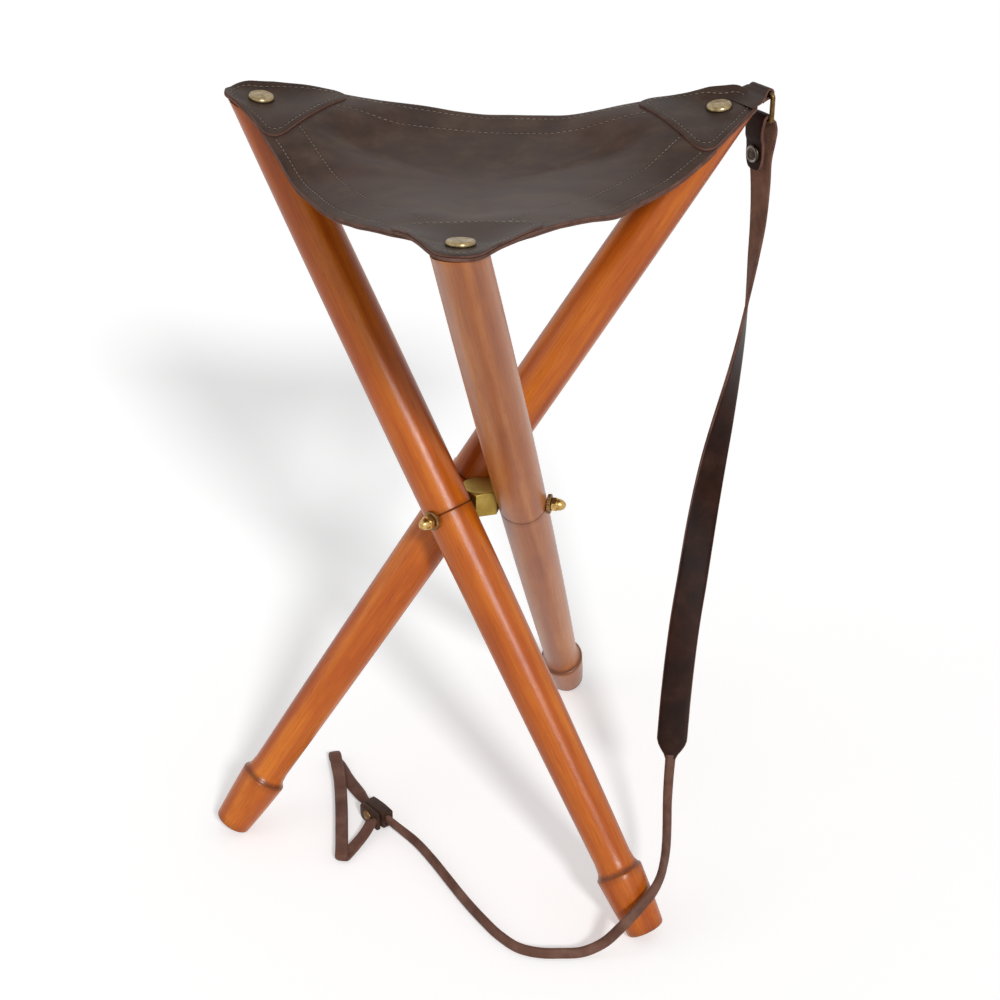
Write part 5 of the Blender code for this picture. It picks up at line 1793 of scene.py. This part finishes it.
    def build_loop(self, finishes: Finishes) -> bpy.types.Object:
        """Make the end loop, from the keeper round its two folds and back to the keeper's face."""
        along = self.keeper_along
        points = [self.channel + along * 0.0004, self.channel + along * 0.0125]
        points += [self.here(p) + UP * self.loop_lift for p, _ in self.loop_route]
        turns = [UP, UP] + [Vector(w).normalized() for _, w in self.loop_route]
        route = smooth_route(points, 0.0016)
        places = [r[0] for r in route]
        wides = [turns[k].lerp(turns[k + 1], t) for _, k, t in route]
        widths = [self.thong.width + (self.loop_width - self.thong.width) * ease((d - 0.014) / 0.020)
                  for d in distances(places)]
        bm = self.thong.sweep(places, wides, widths)
        obj = finish_piece("hand_loop", bm, [finishes.thong, finishes.thong, finishes.thong])
        carry(obj, "hanging_strap", "end_loop")
        return obj

    def build_keeper(self, finishes: Finishes) -> list[bpy.types.Object]:
        """Make the sleeve round the thong with the riveted tab on its face."""
        along = self.keeper_along
        inside = UP.cross(along)
        cavity = (self.thong.depth / 2 + self.thong.crown + GAP, self.thong.width / 2 + GAP)
        outer = (cavity[0] + self.keeper_wall, cavity[1] + self.keeper_wall)

        def slice_at(shift: float, half_w: float, half_h: float, r: float, out: float = 0.0,
                     lift: float = 0.0) -> list[Vector]:
            """Return a rounded slice square to the thong."""
            points = []
            for quarter, (sx, sy) in enumerate(((1, 1), (-1, 1), (-1, -1), (1, -1))):
                for n in range(6):
                    a = math.radians(90 * quarter + 18 * n)
                    points.append(self.channel + along * shift + inside * (out + sx * (half_w - r) + r * math.cos(a))
                                  + UP * (lift + sy * (half_h - r) + r * math.sin(a)))
            return points

        half = self.keeper_length / 2
        rings = [slice_at(-half, *cavity, 0.0004), slice_at(-half, outer[0] - 0.0006, outer[1] - 0.0006, 0.0014)]
        for n in range(9):
            t = n / 8
            swell = 0.0004 * math.sin(math.pi * t)
            rings.append(slice_at(-half + 0.0006 + (self.keeper_length - 0.0012) * t, outer[0] + swell - 0.0002,
                                  outer[1] + swell - 0.0002, 0.0018))
        rings += [slice_at(half, outer[0] - 0.0006, outer[1] - 0.0006, 0.0014), slice_at(half, *cavity, 0.0004)]
        bm = grow(rings, closed=True)
        note_places(bm)
        sleeve = finish_piece("keeper_sleeve", bm, [finishes.keeper], 50.0)
        carry(sleeve, "hanging_strap", "keeper")
        thick = self.tab_depth / 2
        beside = outer[0] + 0.0004 + thick
        low, high = self.tab_span
        rings = []
        for share, lost in ((0.0, 0.0022), (0.02, 0.0008), (0.06, 0.0), (0.3, 0.0), (0.5, 0.0), (0.7, 0.0),
                            (0.88, 0.0006), (0.96, 0.0022), (1.0, 0.0042)):
            tall = self.tab_tall / 2 - lost
            edge = thick - min(thick * 0.5, lost * 0.3)
            rings.append(slice_at(low + (high - low) * share, edge, tall, min(0.0012, edge * 0.8), beside, -0.0012))
        bm = grow(rings)
        note_places(bm)
        tab = finish_piece("keeper_tab", bm, [finishes.keeper], 50.0)
        carry(tab, "hanging_strap")
        r = self.rivet_radius
        profile = [(0.0, 0.0), (r - 0.0002, 0.0), (r, 0.0002), (r, 0.0005)]
        profile += [(r * math.cos(a), 0.0005 + 0.0014 * math.sin(a)) for a in (math.radians(90 * n / 9) for n in range(1, 9))]
        profile.append((0.0, 0.0019))
        bm = turned(profile, 40)
        note_places(bm)
        face = self.channel + inside * (beside + thick) + along * self.rivet_shift - UP * 0.0012
        turn = inside.to_track_quat("Z", "Y").to_matrix().to_4x4()
        bmesh.ops.transform(bm, matrix=Matrix.Translation(face) @ turn, verts=bm.verts[:])
        rivet = finish_piece("loop_rivet", bm, [finishes.bronze], 50.0)
        carry(rivet, "hanging_strap", "keeper_rivet")
        return [sleeve, tab, rivet]

    def build(self, finishes: Finishes) -> None:
        """Make everything that hangs at the ring."""
        fittings = self.build_keeper(finishes)
        self.build_strap(finishes)
        self.build_thong(finishes)
        self.build_loop(finishes)
        self.build_tab(finishes)
        self.build_ring(finishes)
        self.build_press_stud(finishes)


def dress_shanks(nodes: dict, finishes: Finishes) -> None:
    """Give the CAD screws that stay their finish."""
    for name, node in nodes.items():
        if name.startswith("seat_screw"):
            node.data.materials.clear()
            node.data.materials.append(finishes.shank)


def middle_of(node: str) -> Vector:
    """Return the plan middle of a CAD node."""
    low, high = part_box(node)
    return Vector(((low[0] + high[0]) / 2, (low[1] + high[1]) / 2, 0))


def main() -> None:
    """Build the stool on its frame."""
    logging.basicConfig(level=logging.INFO, format="%(name)s: %(message)s")
    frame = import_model()
    layout = Layout(middle_of("pivot_hub"))
    form = SeatForm(layout)
    Studio(layout).build()
    finishes = Finishes()
    Carrier(layout, form).build(finishes)
    for k in range(3):
        Leg(layout, form, k).build(finishes)
        SeatCap(layout, form).build(k, finishes)
    Hub(layout).build(finishes)
    Seat(layout, form).build(finishes)
    dress_shanks(frame["nodes"], finishes)


if __name__ == "__main__":
    main()
